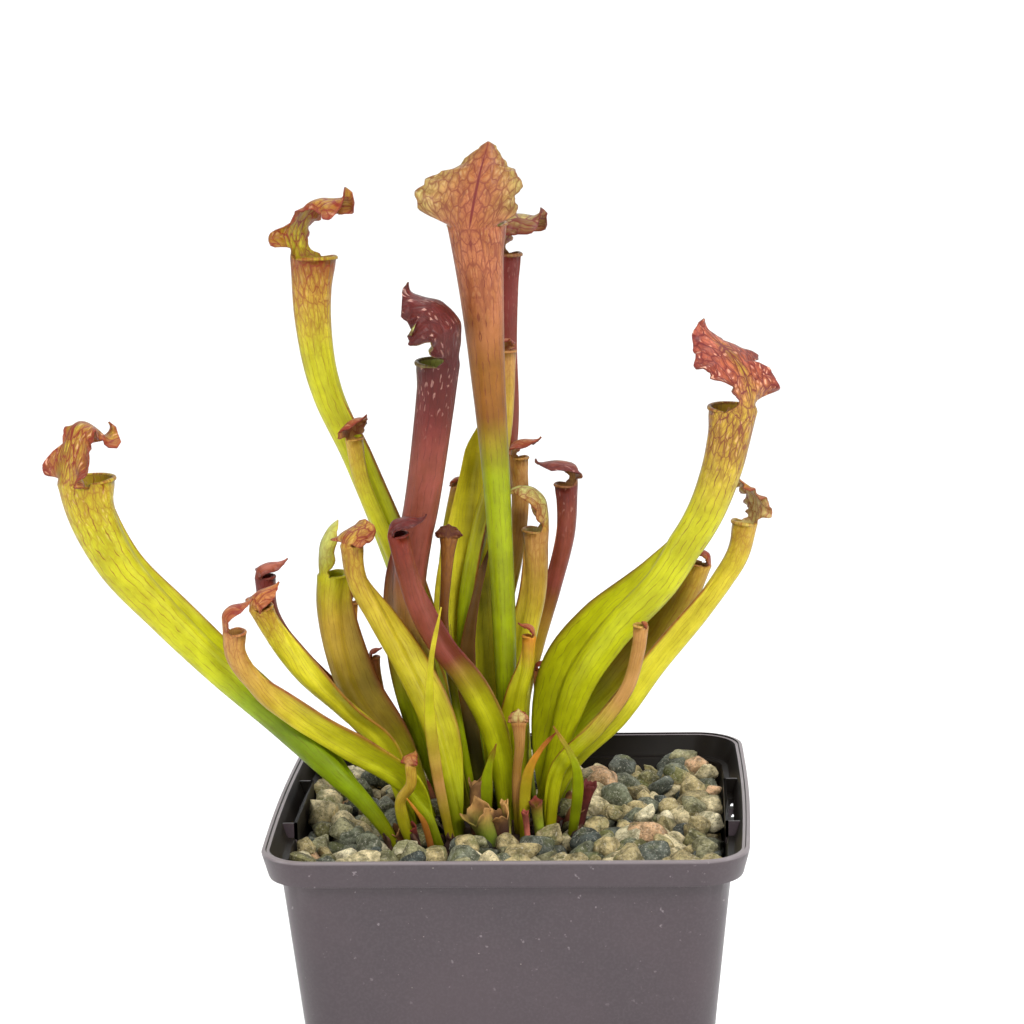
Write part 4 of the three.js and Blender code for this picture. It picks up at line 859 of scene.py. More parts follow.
        course=[(-30, 3.5, 127), (-34, 3.5, 138), (-35.5, 2.5, 146), (-36, 2, 151)],
        coat=[(0.1, "leaf_green"), (0.5, "olive"), (0.8, "tan"), (1, "copper")], hood=(4.5, 1.8),
        hood_coat=("copper", "rose", "brick"), marks=(0.4, 0.3, 0.0)),
    "pitcher_thin_left": dict(
        foot=(-24, 12), face=-20, tube=(1.1, 1.3, 1.5), wing=(0.5, 0.1, 0.7),
        course=[(-35, 11, 130), (-40, 10, 144), (-42, 10, 155), (-42, 9, 164)],
        coat=[(0.1, "olive"), (0.5, "brown"), (0.8, "gold"), (1, "amber")], hood=(6, 2.2),
        hood_coat=("amber", "brown", "brown"), marks=(0.4, 0.3, 0.0)),
    "pitcher_hook_right": dict(
        foot=(8, 21), face=0, tube=(1, 1.2, 1.4), wing=(0.5, 0.1, 0.7),
        course=[(7, 22, 125), (6, 23, 134), (6, 23, 142)],
        coat=[(0.1, "leaf_green"), (0.5, "tan"), (1, "copper")], hood=(4.5, 1.8),
        hood_coat=("copper", "plum", "brick"), marks=(0.4, 0.3, 0.0)),
    "pitcher_behind_dark": dict(
        foot=(-12.5, 9), face=-30, tube=(1.3, 1.5, 1.7), wing=(1, 0.1, 0.7),
        course=[(-16, 15, 134), (-19, 23, 162), (-17.5, 27, 179), (-15, 28, 191)],
        coat=[(0.1, "acid"), (0.6, "lime"), (0.88, "lime"), (1, "tan")], hood=(5, 2.4),
        hood_coat=("tan", "brown", "brick"), marks=(0.4, 0.3, 0.0)),
    "pitcher_front_curl": dict(
        foot=(-24, -15), face=60, tube=(1, 1.4, 1.4), wing=(1.2, 0.05, 0.7),
        course=[(-28, -19, 118), (-25, -22, 124), (-25, -23, 129)],
        coat=[(0.1, "leaf_green"), (0.45, "lime"), (0.7, "gold"), (1, "gold")], hood=(5, 2.2),
        hood_coat=("tan", "tan", "brick"), lining="orange", marks=(0.9, 0.7, 0.0)),
}
LARGE = {"pitcher_far_left", "pitcher_top_left", "pitcher_centre_tall", "pitcher_dark_tall",
         "pitcher_big_right", "pitcher_second_right", "pitcher_back_tall"}
print("pitchers:", len(PITCHERS), "of them large:", len(LARGE))

# %% [markdown]
# A leaf's section is a circle whose front runs out into the thin wing. The grid has the same
# columns on every row, so the wing can grow and fade without a seam. The mouth's rear arc has
# finer columns, because the hood grows out of them.

# %% Section of the tube
FILLET_ANGLE = 0.35      # where the wing runs into the tube
LEAF_WALL = 0.75
HOOD_THICKNESS = 0.5
WING_EDGE = 0.32         # half the thickness of the wing's edge


def column_angles(wing_columns, front_columns, rear_columns):
    """Angles round the leaf from the wing's edge, the share of the wing, and the hood's columns."""
    shares = np.linspace(0, 1, wing_columns, endpoint=False)
    front = np.linspace(FILLET_ANGLE, math.pi - REAR_ARC, front_columns, endpoint=False)
    rear = np.linspace(math.pi - REAR_ARC, math.pi + REAR_ARC, rear_columns)
    angles = np.concatenate([[0], FILLET_ANGLE * shares, front, rear,
                             2 * math.pi - front[::-1], 2 * math.pi - FILLET_ANGLE * shares[::-1]])
    wing_share = np.ones(len(angles))
    wing_share[0] = -0.05
    wing_share[1 : 1 + wing_columns] = shares
    wing_share[-wing_columns:] = shares[::-1]
    first = 1 + wing_columns + front_columns
    return angles, wing_share, first, first + rear_columns - 1


def section(radius, wing, angles, wing_share):
    """Forward and sideways distance of each column from the tube's middle, for each row."""
    radius, wing = radius[:, None], wing[:, None]
    on_wing = np.clip(wing_share, 0, 1)
    near = radius * math.cos(FILLET_ANGLE)
    wing_forward = radius + wing - (radius + wing - near) * on_wing + np.where(wing_share < 0, 0.15, 0.0)
    fillet = WING_EDGE + (radius * math.sin(FILLET_ANGLE) - WING_EDGE) * on_wing**2.2
    rounded = np.sqrt(np.maximum(radius**2 - np.minimum(wing_forward, radius) ** 2, 0.0))
    lateral = np.maximum(rounded + (fillet - rounded) * smooth(wing / 1.2), 0.04)
    lateral = lateral * np.where(angles <= math.pi, 1.0, -1.0) * (wing_share >= 0)
    return (np.where(wing_share < 1, wing_forward, radius * np.cos(angles)),
            np.where(wing_share < 1, lateral, radius * np.sin(angles)))


print("columns round a large leaf:", len(column_angles(*LARGE_LEAF["columns"])[0]))

# %% [markdown]
# The hood is a sheet that grows from the back of the mouth. Its middle rib leans further forward
# as it rises. Across each rib, the sheet first arches like the tube, then opens, and its lobes
# turn back at their margins. Waves run along the margin, and the point at the end flicks up.

# %% Hood
FINE = np.linspace(0, 1, 60)


def hood_half(share, radius, half_width, shape):
    """Half width of the hood. It starts as the tube's rear arc, narrows to a neck and then widens.

    The shape's first pair holds the neck's place and its half width as a share of the tube's radius.
    """
    neck = [(0, radius * REAR_ARC), (shape[0][0], radius * shape[0][1])]
    blade = [(place, width * half_width) for place, width in shape[1:]]
    return eased(share, [*neck, *blade, (1, 0.1)])


def running_mean(values):
    """The integral of evenly spaced values from the first one up to each."""
    return np.concatenate([[0], np.cumsum((values[1:] + values[:-1]) / 2) / (len(values) - 1)])


def hood_surface(plan, point, along, front, across, radius, sides):
    """Middle surface of the hood: rows from the mouth to the tip, columns from margin to margin."""
    rows = plan["hood_rows"]
    length, half_width = plan["hood"][0] * plan["longer"], plan["hood"][1] * plan["broader"]
    share = np.linspace(0, 1, rows + 1)
    lean = np.radians(eased(share, plan["lean"]))
    heading = np.cos(lean)[:, None] * along + np.sin(lean)[:, None] * front
    normal = np.cos(lean)[:, None] * front - np.sin(lean)[:, None] * along
    steps = (heading + math.sin(math.radians(plan["sway"])) * across) * length / rows
    steps[0] = 0
    rib = point - radius * front + np.cumsum(steps, axis=0)
    halves = [hood_half(share, radius, half_width, plan[key]) for key in ("far_width", "width")]
    reflexes = [eased(share, plan[key]) for key in ("far_reflex", "reflex")]
    arch = eased(share, [(0, REAR_ARC), *plan["arch"]])
    droop = plan["droop"] * eased(share, [(0, 0), (0.1, 0.6), (0.27, 1), (0.5, 0.6), (0.75, 0)])
    open_share = smooth((share - 0.08) / 0.15) * (1 - smooth((share - 0.84) / 0.14))
    far = sides < 0
    sizes = np.where(far, *plan["lobes"])
    reach = np.abs(sides)
    phase = np.where(sides > 0, 0.0, 1.9)
    turned_back = np.clip((FINE - 0.35) / 0.65, 0, 1) ** 1.3
    grid = []
    for row in range(rows + 1):
        bends = [arch[row] * FINE + reflex[row] * turned_back for reflex in reflexes]
        turn = np.where(far, *(np.interp(reach, FINE, bend) for bend in bends))
        out = np.where(far, *(np.interp(reach, FINE, running_mean(np.cos(bend))) for bend in bends))
        rise = np.where(far, *(np.interp(reach, FINE, running_mean(np.sin(bend))) for bend in bends))
        swing = 2 * math.pi * plan["waves"] * share[row] + phase
        wave = np.sin(swing) + 0.45 * np.sin(2.3 * swing + 1)
        ripple = plan["frill"] * open_share[row] * smooth((reach - 0.35) / 0.65) * wave
        bumps = np.abs(np.sin(math.pi * plan["scallops"] * share[row] + phase))
        notch = plan["scallop"] * open_share[row] * reach**4 * (bumps - 0.6)
        half = np.where(far, halves[0][row], halves[1][row])
        width = half * (1 + notch + (sizes - 1) * open_share[row] * reach)
        sideways = out * width - ripple * np.sin(turn)
        forward = rise * width + ripple * np.cos(turn)
        sag = droop[row] * half * reach**1.8
        grid.append(rib[row] + (np.sign(sides) * sideways)[:, None] * across
                    + forward[:, None] * normal[row] - sag[:, None] * heading[row])
    return np.array(grid), share


def sheet_normals(grid):
    """Unit normals of a grid of points, towards the front of the hood."""
    return unit(np.cross(np.gradient(grid, axis=1), np.gradient(grid, axis=0)))

# %% [markdown]
# Every point carries its own colour and the strength of its marks. They could be painted on an
# image, but values at the points need no unwrapping and follow the leaf's own shape.

# %% Colours and marks along a leaf
def coat_colours(pairs, place):
    """Ground colour up the leaf between the listed (place, name) pairs. Every foot is red."""
    pairs = [(0, "foot_red"), *pairs]
    places = np.array([pair[0] for pair in pairs], float)
    values = np.array([colour[pair[1]] for pair in pairs])
    return np.stack([np.interp(place, places, values[:, channel]) for channel in range(3)], axis=-1)


def towards(start, end, share):
    """Colours between a start and an end. The share has one number for each point."""
    return start + (end - start) * np.asarray(share)[..., None]


def paint(plan, place, share, reach, inside, edge):
    """Ground colour and marks for points at a place up the tube or a share of the hood."""
    ground = coat_colours(plan["coat"], place)
    neck, blade, margin = (colour[name] for name in plan["hood_coat"])
    hood = towards(ground, neck, np.minimum(share / 0.08, 1))
    hood = towards(hood, blade, smooth(share / 0.45))
    hood = towards(hood, margin, reach**2 * smooth(share / 0.25))
    along_rib = np.exp(-((reach / 0.15) ** 2)) * (1 - smooth((share - 0.5) / 0.4)) * plan["rib_band"]
    hood = towards(hood, neck, along_rib)
    ground = np.where((share > 0)[..., None], hood, ground)
    at_mouth, at_tip = plan["lined"]
    lining = colour[plan["lining"]] * 0.85
    ground = towards(ground, lining, inside * (at_mouth + (at_tip - at_mouth) * share))
    ground = towards(ground, colour[plan["edge"]], edge * smooth((place - 0.15) / 0.3))

    lines, net, panes = plan["marks"]
    upper, near_mouth = smooth((place - 0.55) / 0.4), smooth((place - 0.8) / 0.19)
    line_mark = lines * (0.3 + 0.7 * smooth((place - 0.45) / 0.5)) * (1 - 0.5 * smooth(share / 0.5))
    tube_net = (0.08 * upper + plan["tube_net"] * near_mouth) * (1 - inside)
    net_mark = net * np.where(share > 0, 0.75 + 0.25 * smooth(share / 0.25), tube_net)
    hood_panes = smooth((share - 0.05) / 0.3) * (0.35 + 0.65 * reach)
    pane_mark = panes * np.where(share > 0, hood_panes, 0.4 * near_mouth)
    return ground, np.stack([line_mark, net_mark, pane_mark], axis=-1)

# %% A shell of points and faces
HOLLOW_SKIN = 40         # sets the patterns of the two sides of the skin apart, in millimetres


def quads(numbers, closed=False):
    """Quads between neighbouring rows and columns of a grid of point numbers."""
    if closed:
        numbers = np.concatenate([numbers, numbers[:, :1]], axis=1)
    corners = [numbers[:-1, :-1], numbers[:-1, 1:], numbers[1:, 1:], numbers[1:, :-1]]
    return np.stack(corners, axis=-1).reshape(-1, 4).tolist()


def fan(middle, ring, turned=False):
    """Triangles between a middle point and the sides of a closed ring of point numbers."""
    after = np.roll(ring, -1)
    return [[middle, *pair] for pair in (zip(ring, after) if turned else zip(after, ring))]


def tube_faces(rows, columns):
    """Quads between the rings of a tube whose points are numbered ring by ring."""
    return quads(np.arange(rows * columns).reshape(rows, columns), closed=True)


class Shell:
    """Collects points with their attributes, and faces."""

    def __init__(self, plan):
        self.plan = plan
        self.points, self.faces, self.count = [], [], 0
        self.fields = {"ground": [], "marks": [], "place": [], "skin": []}

    def add(self, points, place=0, share=0, reach=0, inside=0, edge=0, around=0, up=0, spread=0, rib=0):
        """Adds a grid of points and returns the grid of their numbers.

        Place runs up the tube, share up the hood and reach from its rib to a margin. Around is 0 at
        the back and 1 at the wing. Up and spread are lengths along and round the skin.
        """
        points = np.asarray(points, float)
        place, share, reach, inside, edge, around, up, spread, rib = (
            np.broadcast_to(np.asarray(values, float), points.shape[:-1]).ravel()
            for values in (place, share, reach, inside, edge, around, up, spread, rib))
        ground, marks = paint(self.plan, place, share, reach, inside, edge)
        size = len(place)
        self.points.append(points.reshape(-1, 3))
        self.fields["ground"].append(np.concatenate([ground, np.ones((size, 1))], axis=1))
        self.fields["marks"].append(marks)
        self.fields["place"].append(np.stack([around, up / 10, rib], axis=1))
        self.fields["skin"].append(np.stack([spread, up, HOLLOW_SKIN * inside], axis=1))
        self.count += size
        return np.arange(self.count - size, self.count).reshape(points.shape[:-1])

    def finish(self, name, seed):
        """Makes the piece, which stands for the node of the same name."""
        points = np.vstack(self.points)
        fields = {key: np.vstack(values) for key, values in self.fields.items()}
        fields["skin"][:, 2] += 100 * seed
        fields["ink"] = np.tile([*colour[self.plan["ink"]], 1.0], (len(points), 1))
        piece = make_object("fine_" + name, points, self.faces, leaf_finish[slot_of[name]], fields)
        hand_over(piece, name)
        return piece

# %% [markdown]
# The parts of a pitcher are one shell: the outer wall, the hollow, the lip and the hood's two
# faces share their points where they meet, so the shell is closed and has a real thickness.

# %% Tube and hollow
MOUTH_FLARE = 0.12       # how much wider the front of the mouth is than the tube below it
WING_WAVE = 0.35
TUBE_STRETCH = 0.85      # scale of the net along the tube
TUBE_FINENESS = 1.35     # scale of the net round the tube


def front_gap(angles):
    """How far each column stands in front of the arc that carries the hood."""
    return math.pi - REAR_ARC - np.minimum(angles, 2 * math.pi - angles)


def mouth_flare(places, angles):
    return 1 + MOUTH_FLARE * smooth((places - 0.95) / 0.05)[:, None] * smooth(front_gap(angles) / 0.6)


def way_round(angles):
    """0 at the back of the tube and 1 at its front."""
    return (math.pi - np.minimum(angles, 2 * math.pi - angles)) / math.pi


def add_tube(shell, plan, curve, angles, wing_share, seed):
    """The outer wall with the wing. Returns its point numbers, the mouth's axes and its radius."""
    places = (np.arange(plan["rows"] + 1) / plan["rows"]) ** 0.9
    point, along, front, across = leaf_axes(curve, places, plan["face"])
    radius, wing = tube_radius(plan["tube"], places), wing_width(plan["wing"], places)
    forward, sideways = section(radius, wing, angles, wing_share)
    flare = mouth_flare(places, angles)
    on_wing = np.clip(1 - wing_share, 0, 1)
    wave = WING_WAVE * np.sin(places * 17 + seed)[:, None] * on_wing * smooth(wing / 3)[:, None]
    middle = point - front * (wing / 2)[:, None]
    wall = (middle[:, None] + (forward * flare)[..., None] * front[:, None]
            + (sideways * flare + wave)[..., None] * across[:, None])
    around = way_round(angles)
    edge = np.clip(1 - wing_share * 4, 0, 1) * smooth(wing)[:, None] * 0.8
    numbers = shell.add(wall, places[:, None], edge=edge,
                        around=around * 0.72 + 0.28 * on_wing * smooth(wing / 2)[:, None],
                        up=places[:, None] * curve[2] * TUBE_STRETCH,
                        spread=(around * math.pi * radius[:, None] + on_wing * wing[:, None]) * TUBE_FINENESS)
    foot = shell.add(point[:1])
    shell.faces += quads(numbers, closed=True) + fan(foot[0], numbers[0])
    return numbers, (point[-1], along[-1], front[-1], across[-1]), radius[-1]


def add_hollow(shell, plan, curve, angles):
    """The inner wall, from the mouth down to where the hollow ends. Returns its point numbers."""
    places = 1 - plan["hollow"] * (np.arange(plan["hollow_rows"] + 1) / plan["hollow_rows"]) ** 1.3
    point, _, front, across = leaf_axes(curve, places, plan["face"])
    radius = np.maximum(tube_radius(plan["tube"], places) - LEAF_WALL, 0.3)
    point = point - front * (wing_width(plan["wing"], places) / 2)[:, None]
    outward = np.cos(angles)[None, :, None] * front[:, None] + np.sin(angles)[None, :, None] * across[:, None]
    around = way_round(angles)
    wall = point[:, None] + (radius[:, None] * mouth_flare(places, angles))[..., None] * outward
    numbers = shell.add(wall, places[:, None], inside=1, around=around,
                        up=places[:, None] * curve[2] * TUBE_STRETCH,
                        spread=around * math.pi * radius[:, None] * TUBE_FINENESS)
    end = shell.add(point[-1:], places[-1], inside=1)
    shell.faces += quads(numbers, closed=True) + fan(end[0], numbers[-1], turned=True)
    return numbers

# %% [markdown]
# The lip is a soft roll. Its section is part of a circle that is as wide as the wall where the
# hood begins and swells to a bead in front, so the roll fades into the hood's margins.

# %% Lip
LIP_STEPS = 7


def lip_rows(point, along, front, across, radius, angles, bead):
    """The rolled lip on the front columns, as rows from the outer wall over to the inner one."""
    swell = smooth(front_gap(angles) / 0.7)
    ball = LEAF_WALL / 2 + (bead - LEAF_WALL / 2) * swell
    start = np.radians(-70) * swell
    end = math.pi + np.radians(15) * swell
    outward = np.cos(angles)[:, None] * front + np.sin(angles)[:, None] * across
    rows = []
    for step in range(1, LIP_STEPS):
        turn = start + (end - start) * step / LIP_STEPS
        out = radius - LEAF_WALL / 2 + swell * LEAF_WALL * 0.35 + ball * np.cos(turn)
        up = swell * bead * 0.35 + ball * np.sin(turn)
        rows.append(point + out[:, None] * outward + up[:, None] * along)
    return np.array(rows)


def add_lip(shell, plan, outer, inner, mouth, radius, length, angles, columns):
    """Joins the two walls with the lip, along the columns in front of the hood."""
    flared = radius * (1 + MOUTH_FLARE * smooth(front_gap(angles) / 0.6))
    around = way_round(angles)[columns]
    rows = lip_rows(*mouth, flared, angles, plan["bead"])[:, columns]
    roll = shell.add(rows, 1, 0.02, 0.2, 0.35, around=around, up=length,
                     spread=around * math.pi * radius * TUBE_FINENESS)
    numbers = np.vstack([outer[-1:, columns], roll, inner[:1, columns]])
    shell.faces += quads(numbers) + [numbers[:, 0].tolist(), numbers[::-1, -1].tolist()]

# %% The hood's two faces
def add_hood(shell, plan, outer, inner, mouth, radius, length, angles):
    """The hood as two faces on either side of its middle surface. Outer and inner are its first row."""
    sides = (math.pi - angles) / REAR_ARC
    middle = len(sides) // 2
    grid, share = hood_surface(plan, *mouth, radius - LEAF_WALL / 2, sides)
    normals = sheet_normals(grid)
    if float(normals[0, middle] @ mouth[2]) < 0:
        normals = -normals
    reach = np.abs(sides)
    thickness = HOOD_THICKNESS * (1 - 0.35 * reach[None] ** 4)
    thickness = thickness + (LEAF_WALL - thickness) * (1 - smooth(share / 0.08))[:, None]
    run = np.cumsum(np.linalg.norm(np.gradient(grid, axis=1), axis=2), axis=1)
    fineness = TUBE_FINENESS + (1 - TUBE_FINENESS) * smooth(share / 0.3)
    spread = np.abs(run - run[:, [middle]]) * fineness[:, None]
    up_hood = share[1:, None]
    margin = 0.5 * smooth((reach - 0.92) / 0.08)
    sheets = []
    for side, inside in ((-1, 0), (1, 1)):
        sheet = grid + side * (thickness / 2)[..., None] * normals
        sheets.append(shell.add(sheet[1:], 1, up_hood, reach, inside, margin,
                                around=reach * REAR_ARC / math.pi * 0.72,
                                up=length + up_hood * plan["hood"][0], spread=spread[1:],
                                rib=plan["midrib"] * smooth(up_hood / 0.1)))
    back, face = np.vstack([outer, sheets[0]]), np.vstack([inner, sheets[1]])
    for numbers in (back, face.T, [back[:, 0], face[:, 0]], [face[:, -1], back[:, -1]], [back[-1], face[-1]]):
        shell.faces += quads(np.array(numbers))

# %% Build the pitchers
def build_pitcher(name, plan, seed):
    plan = full_plan(name, plan)
    curve = course_curve(plan["foot"], plan["course"])
    angles, wing_share, first, last = column_angles(*plan["columns"])
    shell = Shell(plan)
    outer, mouth, radius = add_tube(shell, plan, curve, angles, wing_share, seed)
    inner = add_hollow(shell, plan, curve, angles)
    length = curve[2] * TUBE_STRETCH
    front_columns = np.arange(last, len(angles) + first + 1) % len(angles)
    add_lip(shell, plan, outer, inner, mouth, radius, length, angles, front_columns)
    rear = slice(first, last + 1)
    add_hood(shell, plan, outer[-1:, rear], inner[:1, rear], mouth, radius, length, angles[rear])
    return shell.finish(name, seed)


leaves = [build_pitcher(name, plan, seed) for seed, (name, plan) in enumerate(PITCHERS.items())]
print("faces in the pitchers:", sum(len(leaf.data.polygons) for leaf in leaves))

# %% [markdown]
# ## Flat leaves
#
# A few leaves carry no pitcher. Each is a blade with a lens-shaped section, a little folded along
# its middle, that ends in a point.

# %% Flat leaves
BLADES = {
    "blade_front": dict(
        foot=(-15.5, -9), face=-70, half=1.6,
        course=[(-19, -16, 126), (-20, -21, 143), (-19, -24, 157), (-16, -26, 171)],
        coat=[(0.1, "lime"), (0.3, "tan"), (0.6, "lime"), (1, "yellow")]),
    "blade_orange_tip": dict(
        foot=(2.5, -4.5), course=[(4, -7, 122), (7.5, -8, 129), (12, -8, 134)],
        coat=[(0.12, "acid"), (0.5, "yellow"), (0.75, "orange"), (1, "brick")]),
    "blade_drooping": dict(
        foot=(14.5, -4), course=[(17, -9, 120), (16, -11, 127), (11, -11, 136)],
        coat=[(0.2, "leaf_green"), (0.7, "fresh_green"), (1, "brown")]),
    "blade_centre": dict(
        foot=(-8, -2), face=-90, half=1.9, course=[(-7, -4, 118), (-6, -5, 124), (-4, -6, 130)],
        coat=[(0.2, "leaf_green"), (0.8, "fresh_green"), (1, "brown")]),
    "blade_curl": dict(
        foot=(-20, -16), face=-60, half=0.9, course=[(-22, -21, 113), (-23.5, -24, 117), (-26, -25, 121)],
        coat=[(0.3, "amber"), (1, "orange")]),
    "blade_wide": dict(
        foot=(-12, 22), face=-82, half=8.6,
        course=[(-12.5, 22.5, 140), (-13, 22, 165), (-11, 22, 190), (-6.5, 22, 214)],
        coat=[(0.1, "acid"), (0.3, "bright"), (1, "bright")]),
    "blade_olive": dict(
        foot=(-7, 10.5), face=-90, half=2.4,
        course=[(-12, 11, 134), (-12, 11.5, 151), (-9, 12, 167), (-5.5, 13, 179)],
        coat=[(0.1, "dark_olive"), (0.5, "umber"), (1, "umber")]),
}
BLADE_DEFAULTS = dict(half=1.5, face=-80, hood_coat=("gold", "gold", "gold"), marks=(0.35, 0.15, 0.0))
BLADE_ROWS, BLADE_COLUMNS = 56, 26


def build_blade(name, plan, seed):
    plan = {**COMMON, **BLADE_DEFAULTS, **plan}
    curve = course_curve(plan["foot"], plan["course"])
    places = np.linspace(0, 1, BLADE_ROWS + 1)
    point, _, front, across = leaf_axes(curve, places * 0.999, plan["face"])
    wide = plan["half"]
    half = eased(places, [(0, 0.7 + wide * 0.3), (0.5, wide), (0.88, wide * 0.42), (1, 0.2)])
    thick = eased(places, [(0, 0.9), (1, 0.3)])
    turn = np.arange(BLADE_COLUMNS) * 2 * math.pi / BLADE_COLUMNS
    reach = np.abs(np.cos(turn))
    sideways = half[:, None] * np.cos(turn)
    forward = -thick[:, None] * np.sin(turn) * (1 - 0.35 * reach**2) + wide * 0.22 * reach
    grid = point[:, None] + sideways[..., None] * across[:, None] + forward[..., None] * front[:, None]
    shell = Shell(plan)
    numbers = shell.add(grid, places[:, None], edge=reach**10 * 0.5, around=reach * 0.5,
                        up=places[:, None] * curve[2], spread=half[:, None] * reach)
    foot = shell.add(point[:1])
    tip = shell.add(grid[-1:].mean(axis=1), 1, up=curve[2])
    shell.faces += quads(numbers, closed=True)
    shell.faces += fan(foot[0], numbers[0]) + fan(tip[0], numbers[-1], turned=True)
    shell.finish(name, seed)


for seed, (name, plan) in enumerate(BLADES.items()):
    build_blade(name, plan, 40 + seed)
print("flat leaves:", len(BLADES))

# %% [markdown]
# ## The pot
#
# The pot is one moulding of grey plastic: a square with round corners that tapers to its foot,
# a band round the rim, a pocket for a label inside the left and right walls, and holes in the
# floor. A stack of rounded squares makes the shell, and Boolean cutters open the slots, the
# holes and the channels between the feet. A finish of fine scratches and lint keeps the plastic
# from looking new, and a paler line along the rim's top edge is a painted highlight.

# %% Pot material
RIM_LEVEL = 0.1149       # height just under the rim's top face, in metres


def inside_pot(tree, where, height):
    """1 on the walls' inner sides and on the ledge under the rim, 0 outside."""
    normal = node(tree, "ShaderNodeNewGeometry").outputs["Normal"]
    outward = vector_maths(tree, "MULTIPLY", where, (1.0, 1.0, 0.0))[0]
    facing = vector_maths(tree, "DOT_PRODUCT", normal, outward)["Value"]
    ledge = times(tree, ramp(tree, split(tree, normal)["Z"], 0.6, 0.8), ramp(tree, height, 0.1136, 0.1126))
    return maths(tree, "MAXIMUM", ramp(tree, facing, -0.004, -0.012), ledge)


def pot_material():
    material, tree, shader = new_material("pot_plastic")
    where = own_place(tree)
    height = split(tree, where)["Z"]
    cloud = noise(tree, where, 26.0, 5.0, 0.6)
    grain = noise(tree, where, 1400.0, 3.0)
    body = blend(tree, ramp(tree, cloud, 0.3, 0.7), rgba("393034"), rgba("403539"))
    body = blend(tree, times(tree, ramp(tree, grain, 0.4, 0.7), 0.2), body, rgba("524a4d"))
    # A thin paler line along the rim's top edge is a painted highlight.
    rim_highlight_mask = ramp(tree, height, RIM_LEVEL - 0.0009, RIM_LEVEL - 0.0002)
    rim_highlighted = blend(tree, times(tree, rim_highlight_mask, 0.75), body, rgba("7d7476"))

    # Scratches run one way, and lint and dust lie on the upper part
    turned = {"Vector": where, "Rotation": (0.3, 0.5, 0.9), "Scale": (620.0, 30.0, 620.0)}
    streak = noise(tree, node(tree, "ShaderNodeMapping", turned).outputs[0], 1.0, 2.0)
    upper = ramp(tree, height, 0.055, 0.108)
    scratch = times(tree, ramp(tree, streak, 0.69, 0.76), times(tree, upper, 0.4))
    scratched = blend(tree, scratch, rim_highlighted, rgba("978d8f"))
    lint, dust = (use_group(tree, SPECKLE, {"Vector": where, "Size": size, "Density": density,
                                            "Radius": radius})["Mask"]
                  for size, density, radius in ((3.4, 0.16, 0.055), (1.5, 0.1, 0.06)))
    marks = times(tree, maths(tree, "MAXIMUM", lint, dust), times(tree, upper, 0.6))
    dusty = blend(tree, marks, scratched, rgba("b3a99f"))

    # The inner walls and the ledge under the rim are painted near black as painted shade inside the pot, and
    # they reflect less.
    within = inside_pot(tree, where, height)
    inner_shade = blend(tree, ramp(tree, cloud, 0.4, 0.65), rgba("181512"), rgba("231f1b"))
    rough = maths(tree, "ADD", 0.3, times(tree, cloud, 0.16))
    relief = maths(tree, "ADD", times(tree, grain, 0.5), times(tree, scratch, -0.6))
    feed(tree, shader, {
        "Base Color": blend(tree, within, dusty, inner_shade),
        "Roughness": maths(tree, "ADD", rough, times(tree, marks, 0.3)),
        "Normal": bump(tree, relief, 0.3, 0.08),
        "Specular IOR Level": maths(tree, "SUBTRACT", 0.45, times(tree, within, 0.38))})
    return material

# %% Pot shell
RIM_HALF, RIM_FOOT_HALF, RIM_TOP_WIDTH, RIM_BAND = 60.0, 58.6, 2.2, 7.2
BODY_TOP_HALF, BODY_FOOT_HALF, POT_HEIGHT = 55.5, 45.0, 115.0
WALL, FLOOR, CORNER_RADIUS, FOOT_LIFT, FOOT_PAD, CENTRE_FOOT = 1.4, 2.4, 10.0, 2.0, 22.0, 12.0
BAND_FOOT = POT_HEIGHT - RIM_BAND
LEDGE = BAND_FOOT + WALL
INNER_RADIUS = CORNER_RADIUS - WALL
CORNER_STEPS, SIDE_STEPS = 14, 10
BOW = 1.3                # how far the left and right walls bow outward at the rim


def inner_half(z):
    return BODY_FOOT_HALF + (BODY_TOP_HALF - BODY_FOOT_HALF) / BAND_FOOT * z - WALL


def bow(y, z, half):
    """How far a side wall stands out at a point: most at the rim, halfway between the corners."""
    return BOW * (z / POT_HEIGHT) ** 2 * np.cos(np.clip(y / half, -1, 1) * math.pi / 2)


def rounded_square(half, z, radius):
    """A ring of points: corner by corner, with the straight side that follows each corner."""
    ring = []
    for corner in range(4):
        turn = corner * math.pi / 2
        ahead = np.array([math.cos(turn), math.sin(turn)])
        left = np.array([-ahead[1], ahead[0]])
        centre = (half - radius) * (ahead + left)
        for angle in np.linspace(0, math.pi / 2, CORNER_STEPS + 1):
            ring.append(centre + radius * (math.cos(angle) * ahead + math.sin(angle) * left))
        for share in np.arange(1, SIDE_STEPS) / SIDE_STEPS:
            ring.append(centre + radius * left - 2 * share * (half - radius) * ahead)
    return [(x + np.sign(x) * (abs(x) / half) ** 6 * bow(y, z, half), y, z) for x, y in ring]


